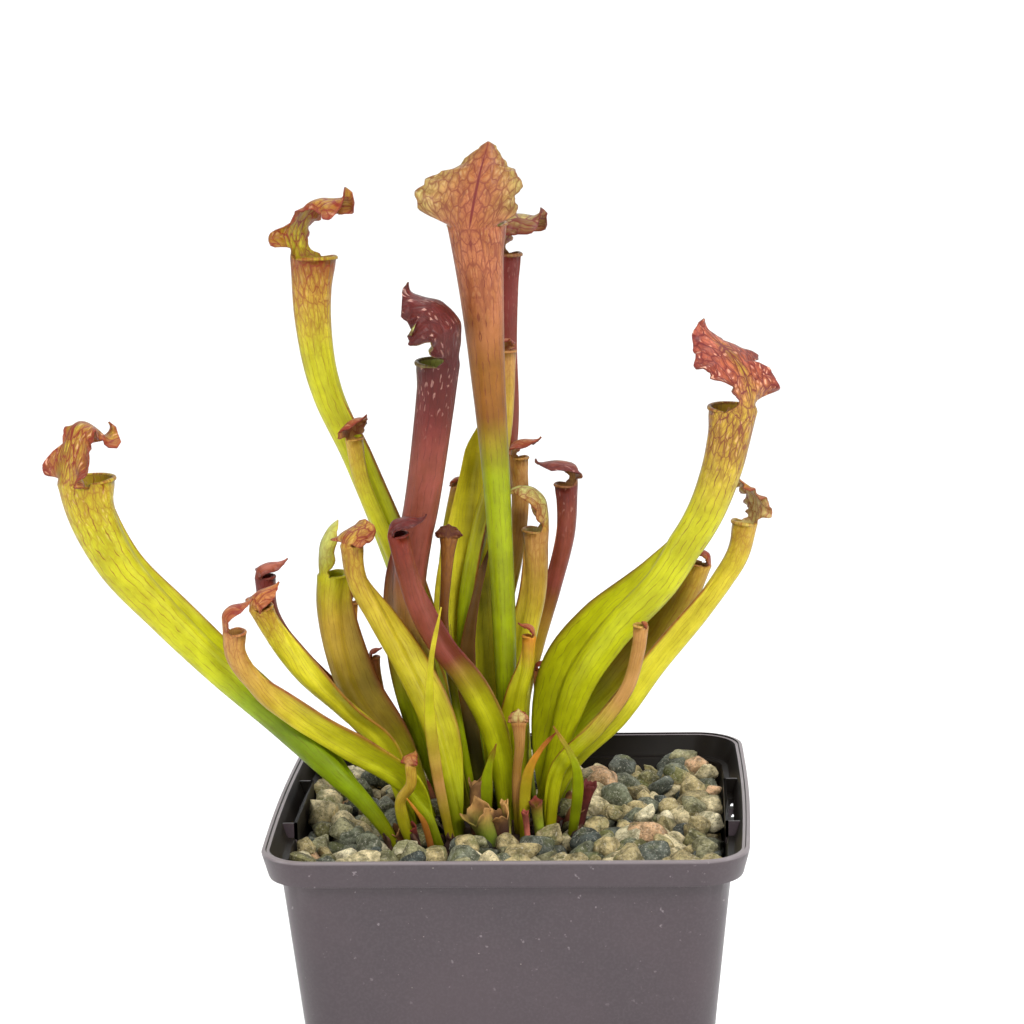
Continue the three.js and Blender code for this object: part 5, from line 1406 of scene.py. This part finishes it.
def pot_profile():
    """Half width, height and growth of the corner radius of each ring, from the foot to the floor."""
    band_rise, band_growth = RIM_BAND - 1.5, RIM_HALF - RIM_FOOT_HALF
    ledge_half, floor_top = RIM_FOOT_HALF - RIM_TOP_WIDTH, FOOT_LIFT + FLOOR
    taper = [0.5 + (BAND_FOOT - 0.9) * step / 12 for step in range(1, 12)]
    return [
        # foot and body
        (BODY_FOOT_HALF - 0.5, 0, -0.5), (BODY_FOOT_HALF, 0.5, 0),
        *((inner_half(z) + WALL, z, 0) for z in taper),
        (BODY_TOP_HALF, BAND_FOOT - 0.4, 0), (BODY_TOP_HALF + 0.3, BAND_FOOT, 0),
        # band
        (RIM_FOOT_HALF - 0.8, BAND_FOOT, 1), (RIM_FOOT_HALF - 0.25, BAND_FOOT + 0.2, 1.4),
        *((RIM_FOOT_HALF + band_growth * k / 4, BAND_FOOT + 0.8 + band_rise * k / 4, 1.6 + 0.1 * k)
          for k in range(4)),
        # rim
        (RIM_HALF, POT_HEIGHT - 0.6, 2), (RIM_HALF - 0.12, POT_HEIGHT - 0.2, 2),
        (RIM_HALF - 0.45, POT_HEIGHT, 2), (RIM_HALF - 0.95, POT_HEIGHT, 1.5),
        (RIM_HALF - 1.2, POT_HEIGHT - 0.35, 1.3),
        (RIM_HALF - 1.9, POT_HEIGHT - 0.4, 0.8), (RIM_HALF - RIM_TOP_WIDTH, POT_HEIGHT - 0.8, 0.6),
        # ledge and inner wall
        (ledge_half, LEDGE + 0.5, 0), (ledge_half - 0.4, LEDGE, 0),
        (inner_half(LEDGE) + 0.3, LEDGE, -1), (inner_half(LEDGE), LEDGE - 0.4, -1),
        (inner_half(floor_top + 2), floor_top + 2, -WALL), (inner_half(floor_top) - 2, floor_top, -2.5),
    ]


def capped_tube(rings):
    """Points and faces of a stack of rings, closed at both ends."""
    rows, columns = len(rings), len(rings[0])
    ends = [list(range(columns))[::-1], [(rows - 1) * columns + k for k in range(columns)]]
    return [point for ring in rings for point in ring], tube_faces(rows, columns) + ends

# %% What is cut from the pot
DRAIN_RADIUS, DRAIN_SIDES, DRAIN_RING, INNER_DRAIN_RING = 3.6, 28, 27.0, 17.0
POCKET_LENGTH, POCKET_WALL, POCKET_TOP, SLOT_LENGTH, SLOT_WIDTH = 40.0, 0.8, 113.0, 7.0, 1.3
POCKET_NEAR = inner_half(LEDGE) + 0.85 * BOW - 0.6


def box_mesh(low, high):
    """Points and faces of a box between two corners."""
    xs, ys, zs = (sorted(pair) for pair in zip(low, high))
    points = [(x, y, z) for z in zs for y in ys for x in xs]
    return points, [(0, 2, 3, 1), (4, 5, 7, 6), (0, 1, 5, 4), (2, 6, 7, 3), (0, 4, 6, 2), (1, 3, 7, 5)]


def prism_mesh(x, y, radius, low, high, sides):
    turns = [k * 2 * math.pi / sides for k in range(sides)]
    ring = [(x + radius * math.cos(turn), y + radius * math.sin(turn)) for turn in turns]
    return capped_tube([[(*p, low) for p in ring], [(*p, high) for p in ring]])


def merged(parts):
    """The points and the faces of several parts as one."""
    points, faces = [], []
    for part_points, part_faces in parts:
        faces += [[len(points) + k for k in face] for face in part_faces]
        points += list(part_points)
    return points, faces


def pot_cutters():
    """Channels between the feet, drain holes and three slots beside each label pocket."""
    channel = BODY_FOOT_HALF - FOOT_PAD
    far = 2 * BODY_FOOT_HALF
    middle = CENTRE_FOOT / 2
    parts = []
    for low, high in ((middle, far), (-far, -middle)):
        parts.append(box_mesh((low, -channel, -FOOT_LIFT), (high, channel, FOOT_LIFT)))
        parts.append(box_mesh((-channel, low, -FOOT_LIFT), (channel, high, FOOT_LIFT)))
    for k in range(8):
        reach = DRAIN_RING if k % 2 == 0 else INNER_DRAIN_RING
        x, y = reach * math.cos(k * math.pi / 4), reach * math.sin(k * math.pi / 4)
        parts.append(prism_mesh(x, y, DRAIN_RADIUS, -3, 8, DRAIN_SIDES))
    slot_x = POCKET_NEAR + POCKET_WALL + SLOT_WIDTH / 2 + 0.4
    for x in (-slot_x, slot_x):
        for step in (-1, 0, 1):
            y = step * (SLOT_LENGTH + 3)
            parts.append(box_mesh((x - SLOT_WIDTH / 2, y - SLOT_LENGTH / 2, LEDGE - 3),
                                  (x + SLOT_WIDTH / 2, y + SLOT_LENGTH / 2, LEDGE + 3)))
    return parts


def pocket_walls():
    """The label pockets: a thin upright wall and a rib at each end, on the left and the right."""
    far = RIM_HALF - RIM_TOP_WIDTH / 2
    half = POCKET_LENGTH / 2
    parts = []
    for side in (-1, 1):
        near = side * POCKET_NEAR
        parts.append(box_mesh((near, -half, LEDGE - 2), (near + side * POCKET_WALL, half, POCKET_TOP)))
        for y in (-half, half - POCKET_WALL):
            parts.append(box_mesh((near, y, LEDGE - 0.5), (side * far, y + POCKET_WALL, POCKET_TOP)))
    return parts

# %% Build the pot
def apply_modifiers(piece):
    """Turns what the modifiers make into the object's own plain mesh."""
    seen = piece.evaluated_get(bpy.context.evaluated_depsgraph_get())
    mesh = bpy.data.meshes.new_from_object(seen)
    piece.modifiers.clear()
    old = piece.data
    piece.data = mesh
    bpy.data.meshes.remove(old)
    return piece


def cut(piece, parts, name, operation="DIFFERENCE"):
    """Cuts the parts out of the piece, or joins them to it."""
    cutter = make_object(name, *merged(parts), piece.data.materials[0])
    modifier = piece.modifiers.new(name, "BOOLEAN")
    modifier.operation = operation
    modifier.solver = "EXACT"
    modifier.use_self = True
    modifier.object = cutter
    apply_modifiers(piece)
    bpy.data.objects.remove(cutter)


def build_pot():
    rings = [rounded_square(half, z, CORNER_RADIUS + growth) for half, z, growth in pot_profile()]
    pot = make_object("fine_pot", *capped_tube(rings), pot_material())
    cut(pot, pot_cutters(), "pot_cutters")
    cut(pot, pocket_walls(), "pocket_walls", "UNION")
    pot.data.set_sharp_from_angle(angle=math.radians(38))
    hand_over(pot, "pot")
    print("faces in the pot:", len(pot.data.polygons))


build_pot()

# %% [markdown]
# ## Stubs of old leaves
#
# Stubs of leaves that were cut off stand between the stems. Their places are listed before the
# gravel is made, because the stones have to keep clear of them.

# %% Old stubs
STUBS = [
    # foot, tip, radius, colour at the foot, colour at the rim
    ((-5, -7), (-9.5, -11.5, 113.5), 3.4, "deep_green", "tan"),
    ((-10, -3), (-9.5, -3, 119), 2.0, "bark", "tan"),
    ((-2.5, -7), (-3.5, -10, 112.5), 2.3, "dark_maroon", "tan"),
    ((-1, -6), (-2.2, -8, 115), 1.0, "olive", "tan"),
    ((4, -9), (3.3, -10.5, 113), 0.9, "rose", "red"),
    ((7, -5), (6, -8, 115), 1.6, "leaf_green", "brick"),
    ((-27, -12), (-30, -16, 110), 1.5, "brick", "tan"),
    ((-24, -13), (-26, -17, 111), 1.4, "dark_maroon", "brick"),
    ((16, 5), (20, 1, 117), 1.6, "brick", "maroon"),
    ((12, 4), (17, 2, 111), 1.7, "brick", "tan"),
    ((-20, 16), (-24, 19, 113), 1.8, "brown", "brick"),
    ((10, 8), (15, 11, 111), 1.6, "brick", "brown"),
]
print("stubs:", len(STUBS))

# %% [markdown]
# ## Gravel
#
# The top layer is loose gravel of mixed stone. Each stone shape is a block that planes cut to flat
# faces. Geometry Nodes scatters fourteen such shapes, because a rule can place every stone:
# points at a least distance on a bed, and on each a shape, a size and a turn by chance. Four such
# layers lie on one another. All seeds are fixed, so the stones never move between runs.

# %% Gravel material
STONE_KINDS = [
    (0.0, "a89a76"), (0.14, "86846a"), (0.28, "666b5f"), (0.4, "cbbfa2"), (0.52, "535956"),
    (0.62, "978b6a"), (0.74, "6d6a48"), (0.85, "bc9a7e"), (0.89, "d5cdb8"), (0.94, "40484a"),
]


def kind_colour(tree, chance):
    """The colour of the kind of stone that a number between 0 and 1 picks."""
    kinds = node(tree, "ShaderNodeValToRGB", {"Fac": chance})
    steps = kinds.color_ramp
    steps.interpolation = "CONSTANT"
    while len(steps.elements) < len(STONE_KINDS):
        steps.elements.new(0.5)
    for element, (position, code) in zip(steps.elements, STONE_KINDS):
        element.position = position
        element.color = rgba(code)
    return kinds.outputs["Color"]


def gravel_material():
    material, tree, shader = new_material("gravel_stones")
    where, stone = own_place(tree), read(tree, "stone", "Vector")
    pick, moss_share, _ = split(tree, stone)
    offset = vector_maths(tree, "ADD", where, stone)[0]
    patch = noise(tree, offset, 320.0, 5.0, 0.65)
    speck = noise(tree, offset, 1500.0, 4.0, 0.8)
    tone = blend(tree, ramp(tree, patch, 0.32, 0.68), (0.36, 0.35, 0.24, 1), (1.66, 1.6, 1.38, 1))
    base = blend(tree, 1.0, kind_colour(tree, pick), tone, "MULTIPLY")
    moss = times(tree, ramp(tree, noise(tree, offset, 150.0, 3.0), 0.5, 0.68), times(tree, moss_share, 0.8))
    stained = blend(tree, moss, base, rgba("6f7340"))
    dark = times(tree, ramp(tree, speck, 0.54, 0.64), 0.7)
    pale = times(tree, ramp(tree, speck, 0.45, 0.35), 0.5)
    specked = blend(tree, pale, blend(tree, dark, stained, rgba("3a3a30")), rgba("ddd6c4"))
    # Stones lower in the bed are painted darker: painted shade in the gaps between the stones.
    gap_shade = ramp(tree, split(tree, where)["Z"], 0.1085, 0.1025)
    relief = maths(tree, "ADD", patch, times(tree, speck, 0.35))
    feed(tree, shader, {"Base Color": toned(tree, gap_shade, specked, (0.22, 0.2, 0.16)), "Roughness": 0.7,
                        "Normal": bump(tree, relief, 1.0, 1.5), "Specular IOR Level": 0.35})
    return material


GRAVEL = gravel_material()
print("kinds of stone:", len(STONE_KINDS))

# %% Shapes of the stones
STONE_SHAPES, STONE_PLANES = 14, 13


def spread_directions(count, chance):
    """Directions that are spread over a sphere along a spiral, each a little off its place."""
    k = np.arange(count) + 0.5
    level = 1 - 2 * k / count
    turn = math.pi * (3 - math.sqrt(5)) * k
    flat = np.sqrt(1 - level**2)
    even = np.stack([flat * np.cos(turn), flat * np.sin(turn), level], axis=1)
    return unit(even + chance.normal(scale=0.22, size=even.shape))


def stone_mesh(seed):
    """A block that planes cut down to flat faces. Its edges are then rounded off."""
    chance = np.random.default_rng(seed)
    block = bmesh.new()
    bmesh.ops.create_cube(block, size=3.0)
    for facing in spread_directions(STONE_PLANES, chance):
        cut_open = bmesh.ops.bisect_plane(block, geom=[*block.verts, *block.edges, *block.faces],
                                          plane_co=facing * chance.uniform(0.68, 0.95), plane_no=facing,
                                          clear_outer=True)
        rim = [part for part in cut_open["geom_cut"] if isinstance(part, bmesh.types.BMEdge)]
        if rim:
            bmesh.ops.edgeloop_fill(block, edges=rim)
    bmesh.ops.remove_doubles(block, verts=block.verts, dist=0.18)
    bmesh.ops.bevel(block, geom=[*block.verts, *block.edges], offset=0.13, segments=1, profile=0.5,
                    affect="EDGES", clamp_overlap=True)
    bmesh.ops.recalc_face_normals(block, faces=block.faces)
    mesh = bpy.data.meshes.new(f"stone_{seed}")
    block.to_mesh(mesh)
    block.free()
    mesh.materials.append(GRAVEL)
    return mesh


def stone_collection():
    """The stone shapes, in a collection of their own that the scene doesn't show."""
    shapes = bpy.data.collections.new("stone_shapes")
    for seed in range(STONE_SHAPES):
        shapes.objects.link(bpy.data.objects.new(f"stone_{seed}", stone_mesh(seed)))
    return shapes


SHAPES = stone_collection()

# %% Tree that scatters stones
RANDOM_INPUTS = {"FLOAT": (2, 3, 1), "FLOAT_VECTOR": (0, 1, 0), "INT": (4, 5, 2)}   # low, high and output


def chance_value(tree, low, high, seed, kind="FLOAT"):
    """A value by chance for each stone."""
    first, last, output = RANDOM_INPUTS[kind]
    values = {first: low, last: high, "Seed": seed}
    return node(tree, "FunctionNodeRandomValue", values, data_type=kind).outputs[output]


def stone_tree():
    tree, given, result = new_group(
        "scatter_stones", "GeometryNodeTree",
        [("Geometry", SOLID, None), ("Spacing", FLOAT, 0.007), ("Smallest", FLOAT, 0.0026),
         ("Largest", FLOAT, 0.005), ("Seed", "NodeSocketInt", 3), ("Material", "NodeSocketMaterial", None)],
        [("Geometry", SOLID)])
    points = node(tree, "GeometryNodeDistributePointsOnFaces",
                  {"Mesh": given["Geometry"], "Distance Min": given["Spacing"], "Density Max": 90000.0,
                   "Seed": given["Seed"]}, distribute_method="POISSON").outputs["Points"]
    stones = node(tree, "GeometryNodeCollectionInfo",
                  {"Collection": SHAPES, "Separate Children": True, "Reset Children": True}).outputs[0]
    size = chance_value(tree, given["Smallest"], given["Largest"], 11)
    shape = node(tree, "ShaderNodeCombineXYZ",
                 {"X": times(tree, size, chance_value(tree, 0.85, 1.6, 12)), "Y": size,
                  "Z": times(tree, size, chance_value(tree, 0.65, 1.05, 13))}).outputs[0]
    turn = chance_value(tree, (-0.7, -0.7, 0.0), (0.7, 0.7, 6.28), 14, "FLOAT_VECTOR")
    which = chance_value(tree, 0, STONE_SHAPES - 1, 16, "INT")
    placed = node(tree, "GeometryNodeInstanceOnPoints",
                  {"Points": points, "Instance": stones, "Pick Instance": True, "Instance Index": which,
                   "Rotation": turn, "Scale": shape}).outputs[0]
    lot = chance_value(tree, (0, 0, 0), (1, 1, 1), 15, "FLOAT_VECTOR")
    named = node(tree, "GeometryNodeStoreNamedAttribute", {"Geometry": placed, "Name": "stone", "Value": lot},
                 data_type="FLOAT_VECTOR", domain="INSTANCE").outputs[0]
    real = node(tree, "GeometryNodeRealizeInstances", {"Geometry": named}).outputs[0]
    shaded = node(tree, "GeometryNodeSetShadeSmooth", {"Geometry": real}).outputs[0]
    coated = node(tree, "GeometryNodeSetMaterial", {"Geometry": shaded, "Material": given["Material"]})
    feed(tree, result, {"Geometry": coated.outputs[0]})
    return tree


STONES = stone_tree()
print("group:", STONES.name, "with", len(STONES.nodes), "nodes")

# %% Beds for the stones
SOIL_TOP, BED_TOP, CLEARANCE = 95.0, 100.5, 0.35
BACK_RISE = 1.6          # how much higher the gravel lies at the back wall
STEM_RADIUS = 1.8
STEM_ROOM = 2.0          # clear width between a stem and the middle of a stone
CUT_CORNER = 1.9         # how many half widths a stone may stand from the middle, x and y added up
CROWN_PLACE, CROWN_REACH = (-8, 5), (15, 11)    # the oval in which the rhizome shows


def stem_places(height):
    """Where each leaf passes through a level, with its radius there, and where each stub stands."""
    places = []
    for plan in [*PITCHERS.values(), *BLADES.values()]:
        line = course_curve(plan["foot"], plan["course"])[0]
        k = int(np.argmin(np.abs(line[: CURVE_STEPS // 2, 2] - height)))
        places.append((line[k, 0], line[k, 1], STEM_RADIUS))
    places += [(foot[0], foot[1], radius) for foot, _, radius, _, _ in STUBS]
    return np.array(places)


def bed_points(half, height, cells=72):
    """A grid inside the pot that rises at the back, without cells close to a stem or on the crown."""
    stems = stem_places(height)
    steps = np.linspace(-half, half, cells + 1)
    points = [(x, y, height + BACK_RISE * smooth(y / half)) for y in steps for x in steps]
    faces = []
    for row in range(cells):
        for column in range(cells):
            x = (steps[column] + steps[column + 1]) / 2
            y = (steps[row] + steps[row + 1]) / 2
            corner = abs(x) + abs(y) > half * CUT_CORNER
            crowded = np.any(np.hypot(stems[:, 0] - x, stems[:, 1] - y) < stems[:, 2] + STEM_ROOM)
            on_crown = sum(((a - b) / c) ** 2 for a, b, c in zip((x, y), CROWN_PLACE, CROWN_REACH)) < 1
            if not corner and not crowded and not on_crown:
                k = row * (cells + 1) + column
                faces.append((k, k + 1, k + cells + 2, k + cells + 1))
    return points, faces


print("places that the stones keep clear:", len(stem_places(LEDGE)))

# %% Layers of stones
LAYERS = [
    # height of the stones' middles, least distance, smallest and largest radius, seed
    (99.8, 5.6, 3.2, 4.8, 4),
    (103.6, 5.6, 2.7, 4.8, 8),
    (106.0, 6.4, 1.6, 5.0, 21),
    (107.6, 14.0, 3.0, 4.8, 5),
]


def keep_within(mesh):
    """Presses what would stand beyond the pot's inner wall, the rim or a pocket flat against it."""
    places = np.zeros(len(mesh.vertices) * 3)
    mesh.vertices.foreach_get("co", places)
    places = places.reshape(-1, 3) / MM
    _, y, z = places.T
    wall = inner_half(z)
    straight = np.where(z > LEDGE + 0.3, RIM_FOOT_HALF - RIM_TOP_WIDTH, wall)
    at_pocket = (np.abs(y) < POCKET_LENGTH / 2 + 1) & (z > LEDGE - 2.5)
    side = np.where(at_pocket, POCKET_NEAR, straight + bow(y, z, wall))
    limit = np.stack([side, straight], axis=1) - CLEARANCE
    flat = np.clip(places[:, :2], -limit, limit)
    beyond = np.maximum(np.abs(flat) - (limit - INNER_RADIUS), 0)
    pull = np.minimum(1, INNER_RADIUS / np.maximum(np.linalg.norm(beyond, axis=1), 1e-6))
    places[:, :2] = np.sign(flat) * (np.abs(flat) - beyond * (1 - pull)[:, None])
    mesh.vertices.foreach_set("co", (places * MM).ravel())


def scatter(name, points, faces, values):
    """Runs the stone tree on a bed and returns a plain mesh object of the stones."""
    bed = make_object(name, points, faces, GRAVEL)
    modifier = bed.modifiers.new("scatter", "NODES")
    modifier.node_group = STONES
    for item in STONES.interface.items_tree:
        if item.in_out == "INPUT" and item.name in values:
            modifier[item.identifier] = values[item.name]
    stones = apply_modifiers(bed)
    keep_within(stones.data)
    return stones


def join(pieces, name):
    """Joins objects into a new one, without using the selection."""
    joined = bmesh.new()
    for piece in pieces:
        joined.from_mesh(piece.data)
    mesh = bpy.data.meshes.new(name)
    joined.to_mesh(mesh)
    joined.free()
    mesh.materials.append(pieces[0].data.materials[0])
    made = bpy.data.objects.new(name, mesh)
    bpy.context.scene.collection.objects.link(made)
    for piece in pieces:
        bpy.data.objects.remove(piece)
    return made


def gravel_fill():
    """The closed fill under the stones that show."""
    heights = (SOIL_TOP + CLEARANCE, BED_TOP)
    rings = [rounded_square(inner_half(z) - CLEARANCE, z, INNER_RADIUS) for z in heights]
    return make_object("gravel_fill", *capped_tube(rings), GRAVEL)


def build_gravel():
    layers = [gravel_fill()]
    for index, (height, spacing, smallest, largest, seed) in enumerate(LAYERS):
        half = inner_half(height) - CLEARANCE - smallest * 0.3
        values = {"Spacing": spacing * MM, "Smallest": smallest * MM, "Largest": largest * MM, "Seed": seed,
                  "Material": GRAVEL}
        layers.append(scatter(f"stones_{index}", *bed_points(half, height), values))
    for layer in layers:
        print(layer.name, "faces:", len(layer.data.polygons))
    gravel = join(layers, "fine_gravel")
    gravel.data.set_sharp_from_angle(angle=math.radians(46))
    hand_over(gravel, "gravel")
    for shape in list(SHAPES.objects):
        bpy.data.objects.remove(shape)


build_gravel()

# %% [markdown]
# ## Rhizome, roots and old stubs
#
# The rhizome is a short woody stem, hidden by dry scales and the stubs of leaves that were cut
# off. A rough lump, bent tubes with open ends and thin roots make it. The stubs' rims are ragged,
# because they dried there.

# %% Bark material
def woody_material():
    material, tree, shader = new_material("rhizome_bark")
    where = own_place(tree)
    tint = read(tree, "ground", "Color")
    stretch = node(tree, "ShaderNodeMapping", {"Vector": where, "Scale": (900.0, 900.0, 220.0)}).outputs[0]
    fibre = noise(tree, stretch, 1.0, 5.0, 0.7)
    patch = noise(tree, where, 190.0, 4.0)
    patched = blend(tree, ramp(tree, patch, 0.35, 0.65), toned(tree, 1.0, tint, (0.35, 0.3, 0.28)), tint)
    lit = toned(tree, 1.0, patched, (1.9, 1.7, 1.5))
    fibres = times(tree, ramp(tree, fibre, 0.55, 0.75), 0.5)
    feed(tree, shader, {"Base Color": blend(tree, fibres, patched, lit), "Roughness": 0.8,
                        "Normal": bump(tree, fibre, 0.8, 0.5)})
    return material


BARK = woody_material()
print("material:", BARK.name)

# %% Crown
CROWN = np.array([-7.0, 4.0, 98.5])
CROWN_SIZE = np.array([30.6, 24.3, 7.2])
CROWN_COLOUR = "4a2f1e"


def wobble(points, size, seed):
    """A smooth pseudo random push for points, from sums of sines."""
    turned = points / size
    slow = np.sin(turned @ [1.7, 2.9, 1.1] + seed) + np.sin(turned @ [-2.3, 1.3, 2.1] + 2 * seed)
    return (slow + 0.6 * np.sin(turned @ [4.1, -3.7, 5.3] + 3 * seed)) / 2.6


def crown_lump():
    ball = bmesh.new()
    bmesh.ops.create_icosphere(ball, subdivisions=5, radius=1.0)
    points = np.array([v.co[:] for v in ball.verts])
    faces = [[v.index for v in f.verts] for f in ball.faces]
    ball.free()
    swell = 0.94 + 0.1 * wobble(points * 10, 3.0, 1.3)
    points = points * swell[:, None] * CROWN_SIZE + CROWN
    points[:, 2] += 0.5 * wobble(points, 1.6, 4.0)
    return points, faces, np.tile(linear(CROWN_COLOUR), (len(points), 1))

# %% Tubes for stubs and roots
STUB_WALL, STUB_DEPTH, STUB_COLUMNS = 0.3, 9, 20


def rings_along(line, radii, guide, columns):
    """Rings round a line, with the line's direction, the rings' own directions and their angles."""
    tangent = unit(np.gradient(line, axis=0))
    side = unit(np.cross(tangent, guide))
    other = np.cross(tangent, side)
    turn = np.arange(columns) * 2 * math.pi / columns
    ring = np.cos(turn)[None, :, None] * side[:, None] + np.sin(turn)[None, :, None] * other[:, None]
    return line[:, None] + radii[:, None, None] * ring, tangent, ring, turn


def tube_piece(rings, low, high):
    """Points and faces of a tube whose two ends close on a middle point each."""
    rows, columns = rings.shape[:2]
    size = rows * columns
    foot = np.arange(columns)
    points = np.vstack([rings.reshape(-1, 3), low, high])
    ends = fan(size, foot) + fan(size + 1, size - columns + foot, turned=True)
    return points, tube_faces(rows, columns) + ends


def open_tube(line, radii, ragged, seed):
    """A closed shell round a tube that is open at its upper end, with a ragged rim."""
    outer, tangent, ring, turn = rings_along(line, radii, [0.3, 1.0, 0.1], STUB_COLUMNS)
    rows = len(line)
    rim = ragged * (np.sin(turn * 3 + seed) + 0.6 * np.sin(turn * 7 + 2 * seed))
    fade = smooth((np.arange(rows) / (rows - 1) - 0.7) / 0.3)
    push = (fade[:, None] * rim[None])[..., None] * tangent[:, None]
    keep = slice(rows - STUB_DEPTH, rows)
    inner = line[keep, None] + (radii[keep] - STUB_WALL)[:, None, None] * ring[keep] + push[keep]
    return tube_piece(np.vstack([outer + push, inner[::-1]]), line[:1], line[keep][:1])


def stub_shapes():
    shapes = []
    for seed, (foot, tip, radius, low_colour, rim_colour) in enumerate(STUBS):
        start, end = np.array([*foot, FOOT_DEPTH]), np.array(tip, float)
        share = np.linspace(0, 1, 16)[:, None]
        line = start + (end - start) * share + np.array([0, 0, 1.2]) * np.sin(math.pi * share)
        radii = radius * (0.7 + 0.3 * share[:, 0]) * (1 + 0.15 * smooth((share[:, 0] - 0.85) / 0.15))
        points, faces = open_tube(line, radii, 0.35 * radius, seed)
        height = np.clip((points[:, 2] - start[2]) / (end[2] - start[2]), 0, 1)
        shapes.append((points, faces, towards(colour[low_colour], colour[rim_colour], height**3)))
    return shapes


ROOTS, ROOT_COLUMNS, ROOT_STEPS = 6, 12, 26
ROOT_COLOUR = "5c4330"


def root_shapes():
    shapes = []
    for k in range(ROOTS):
        turn = (k + 0.2) * 2 * math.pi / ROOTS
        outward = np.array([math.cos(turn), math.sin(turn), 0])
        share = np.linspace(0, 1, ROOT_STEPS)
        line = CROWN + (9 + 16 * share**0.7)[:, None] * outward
        line[:, 2] = 96 - 52 * share**1.6
        sway = np.stack([np.sin(share * 11 + k), np.cos(share * 9 + 2 * k)], axis=1)
        line[:, :2] += 1.2 * sway * share[:, None]
        rings = rings_along(line, 1.7 - 1.1 * share, [0.2, 1.0, 0.3], ROOT_COLUMNS)[0]
        points, faces = tube_piece(rings, line[:1], line[-1:])
        shapes.append((points, faces, np.tile(linear(ROOT_COLOUR), (len(points), 1))))
    return shapes

# %% Scales
SCALE_FOOT, SCALE_STEM, HALF_THICK = 102.5, 104, 0.14
SCALE_COLOURS = ["4a2c1a", "6a4426", "33201a", "5c2a1c"]


def scale_shape(foot, outward, height, width, lean, seed):
    """A dried scale: a curved, pointed flake that stands beside a stem."""
    rows, columns = 9, 7
    chance = np.random.default_rng(seed)
    up = np.array([0, 0, 1.0])
    across = np.cross(up, outward)
    share = np.linspace(0, 1, rows + 1)
    tilt = lean * share**1.5
    rise = np.cumsum(np.cos(tilt)) * height / rows
    drift = np.cumsum(np.sin(tilt)) * height / rows
    side = np.linspace(-1, 1, columns)
    half = width * (0.9 - 0.4 * share**2) * (1 + 0.2 * np.sin(share * 9 + seed))
    hollow = 0.5 * width * (1 - side**2) + 0.25 * np.sin(side * 4 + seed)
    sheet = (foot + drift[:, None, None] * outward + rise[:, None, None] * up
             + (half[:, None] * side[None])[..., None] * across
             + (hollow[None] * (1 - 0.3 * share[:, None]))[..., None] * outward)
    sheet = sheet + (share[:, None] ** 3 * np.sin(side * 6 + seed)[None])[..., None] * up
    sheet = sheet + chance.normal(scale=0.07, size=sheet.shape)
    push = HALF_THICK * sheet_normals(sheet)
    rings = np.concatenate([sheet + push, (sheet - push)[:, ::-1]], axis=1)
    shade = np.repeat(0.5 + 0.7 * share, 2 * columns)[:, None]
    return *capped_tube(rings), linear(SCALE_COLOURS[seed % 4]) * shade


def scale_shapes():
    """A scale at each stem's foot, on the outer side of the plant."""
    chance = np.random.default_rng(7)
    shapes = []
    for index, plan in enumerate([*PITCHERS.values(), *BLADES.values()]):
        line = course_curve(plan["foot"], plan["course"])[0]
        stem = line[int(np.argmin(np.abs(line[: CURVE_STEPS // 2, 2] - SCALE_STEM)))]
        away = math.atan2(stem[1] - CROWN[1], stem[0] - CROWN[0])
        angle = away + chance.uniform(-1.3, 1.3)
        outward = np.array([math.cos(angle), math.sin(angle), 0])
        foot = np.array([stem[0], stem[1], SCALE_FOOT]) + outward * chance.uniform(1.9, 2.6)
        height, width, lean = chance.uniform(3.5, 7), chance.uniform(1.2, 2.2), chance.uniform(0.3, 1.3)
        shapes.append(scale_shape(foot, outward, height, width, lean, 2 * index))
    return shapes

# %% Build the rhizome
def build_rhizome():
    shapes = [crown_lump(), *stub_shapes(), *scale_shapes(), *root_shapes()]
    points, faces = merged([shape[:2] for shape in shapes])
    tints = np.vstack([shape[2] for shape in shapes])
    tints = np.concatenate([tints, np.ones((len(tints), 1))], axis=1)
    rhizome = make_object("fine_rhizome", points, faces, BARK, {"ground": tints})
    hand_over(rhizome, "rhizome")
    print("faces in the rhizome:", len(faces))


build_rhizome()

# %% [markdown]
# ## Growing medium
#
# Dark peat with pale grains fills the pot below the gravel. It only shows through the holes in
# the floor, so the model's own block stays, with a coarse, matt finish.

# %% Growing medium
def medium_material():
    material, tree, shader = new_material("peat_mix")
    where = own_place(tree)
    crumb = noise(tree, where, 420.0, 6.0, 0.7)
    base = blend(tree, ramp(tree, crumb, 0.35, 0.65), rgba("1d130c"), rgba("4a3422"))
    grains = use_group(tree, SPECKLE, {"Vector": where, "Size": 3.4, "Density": 0.22, "Radius": 0.32})["Mask"]
    feed(tree, shader, {"Base Color": blend(tree, grains, base, rgba("d9d3c4")), "Roughness": 0.95,
                        "Normal": bump(tree, crumb, 0.9, 1.2)})
    return material


medium = frame["nodes"]["growing_medium"]
medium.data.materials.clear()
medium.data.materials.append(medium_material())
print("material of the growing medium:", medium.data.materials[0].name)
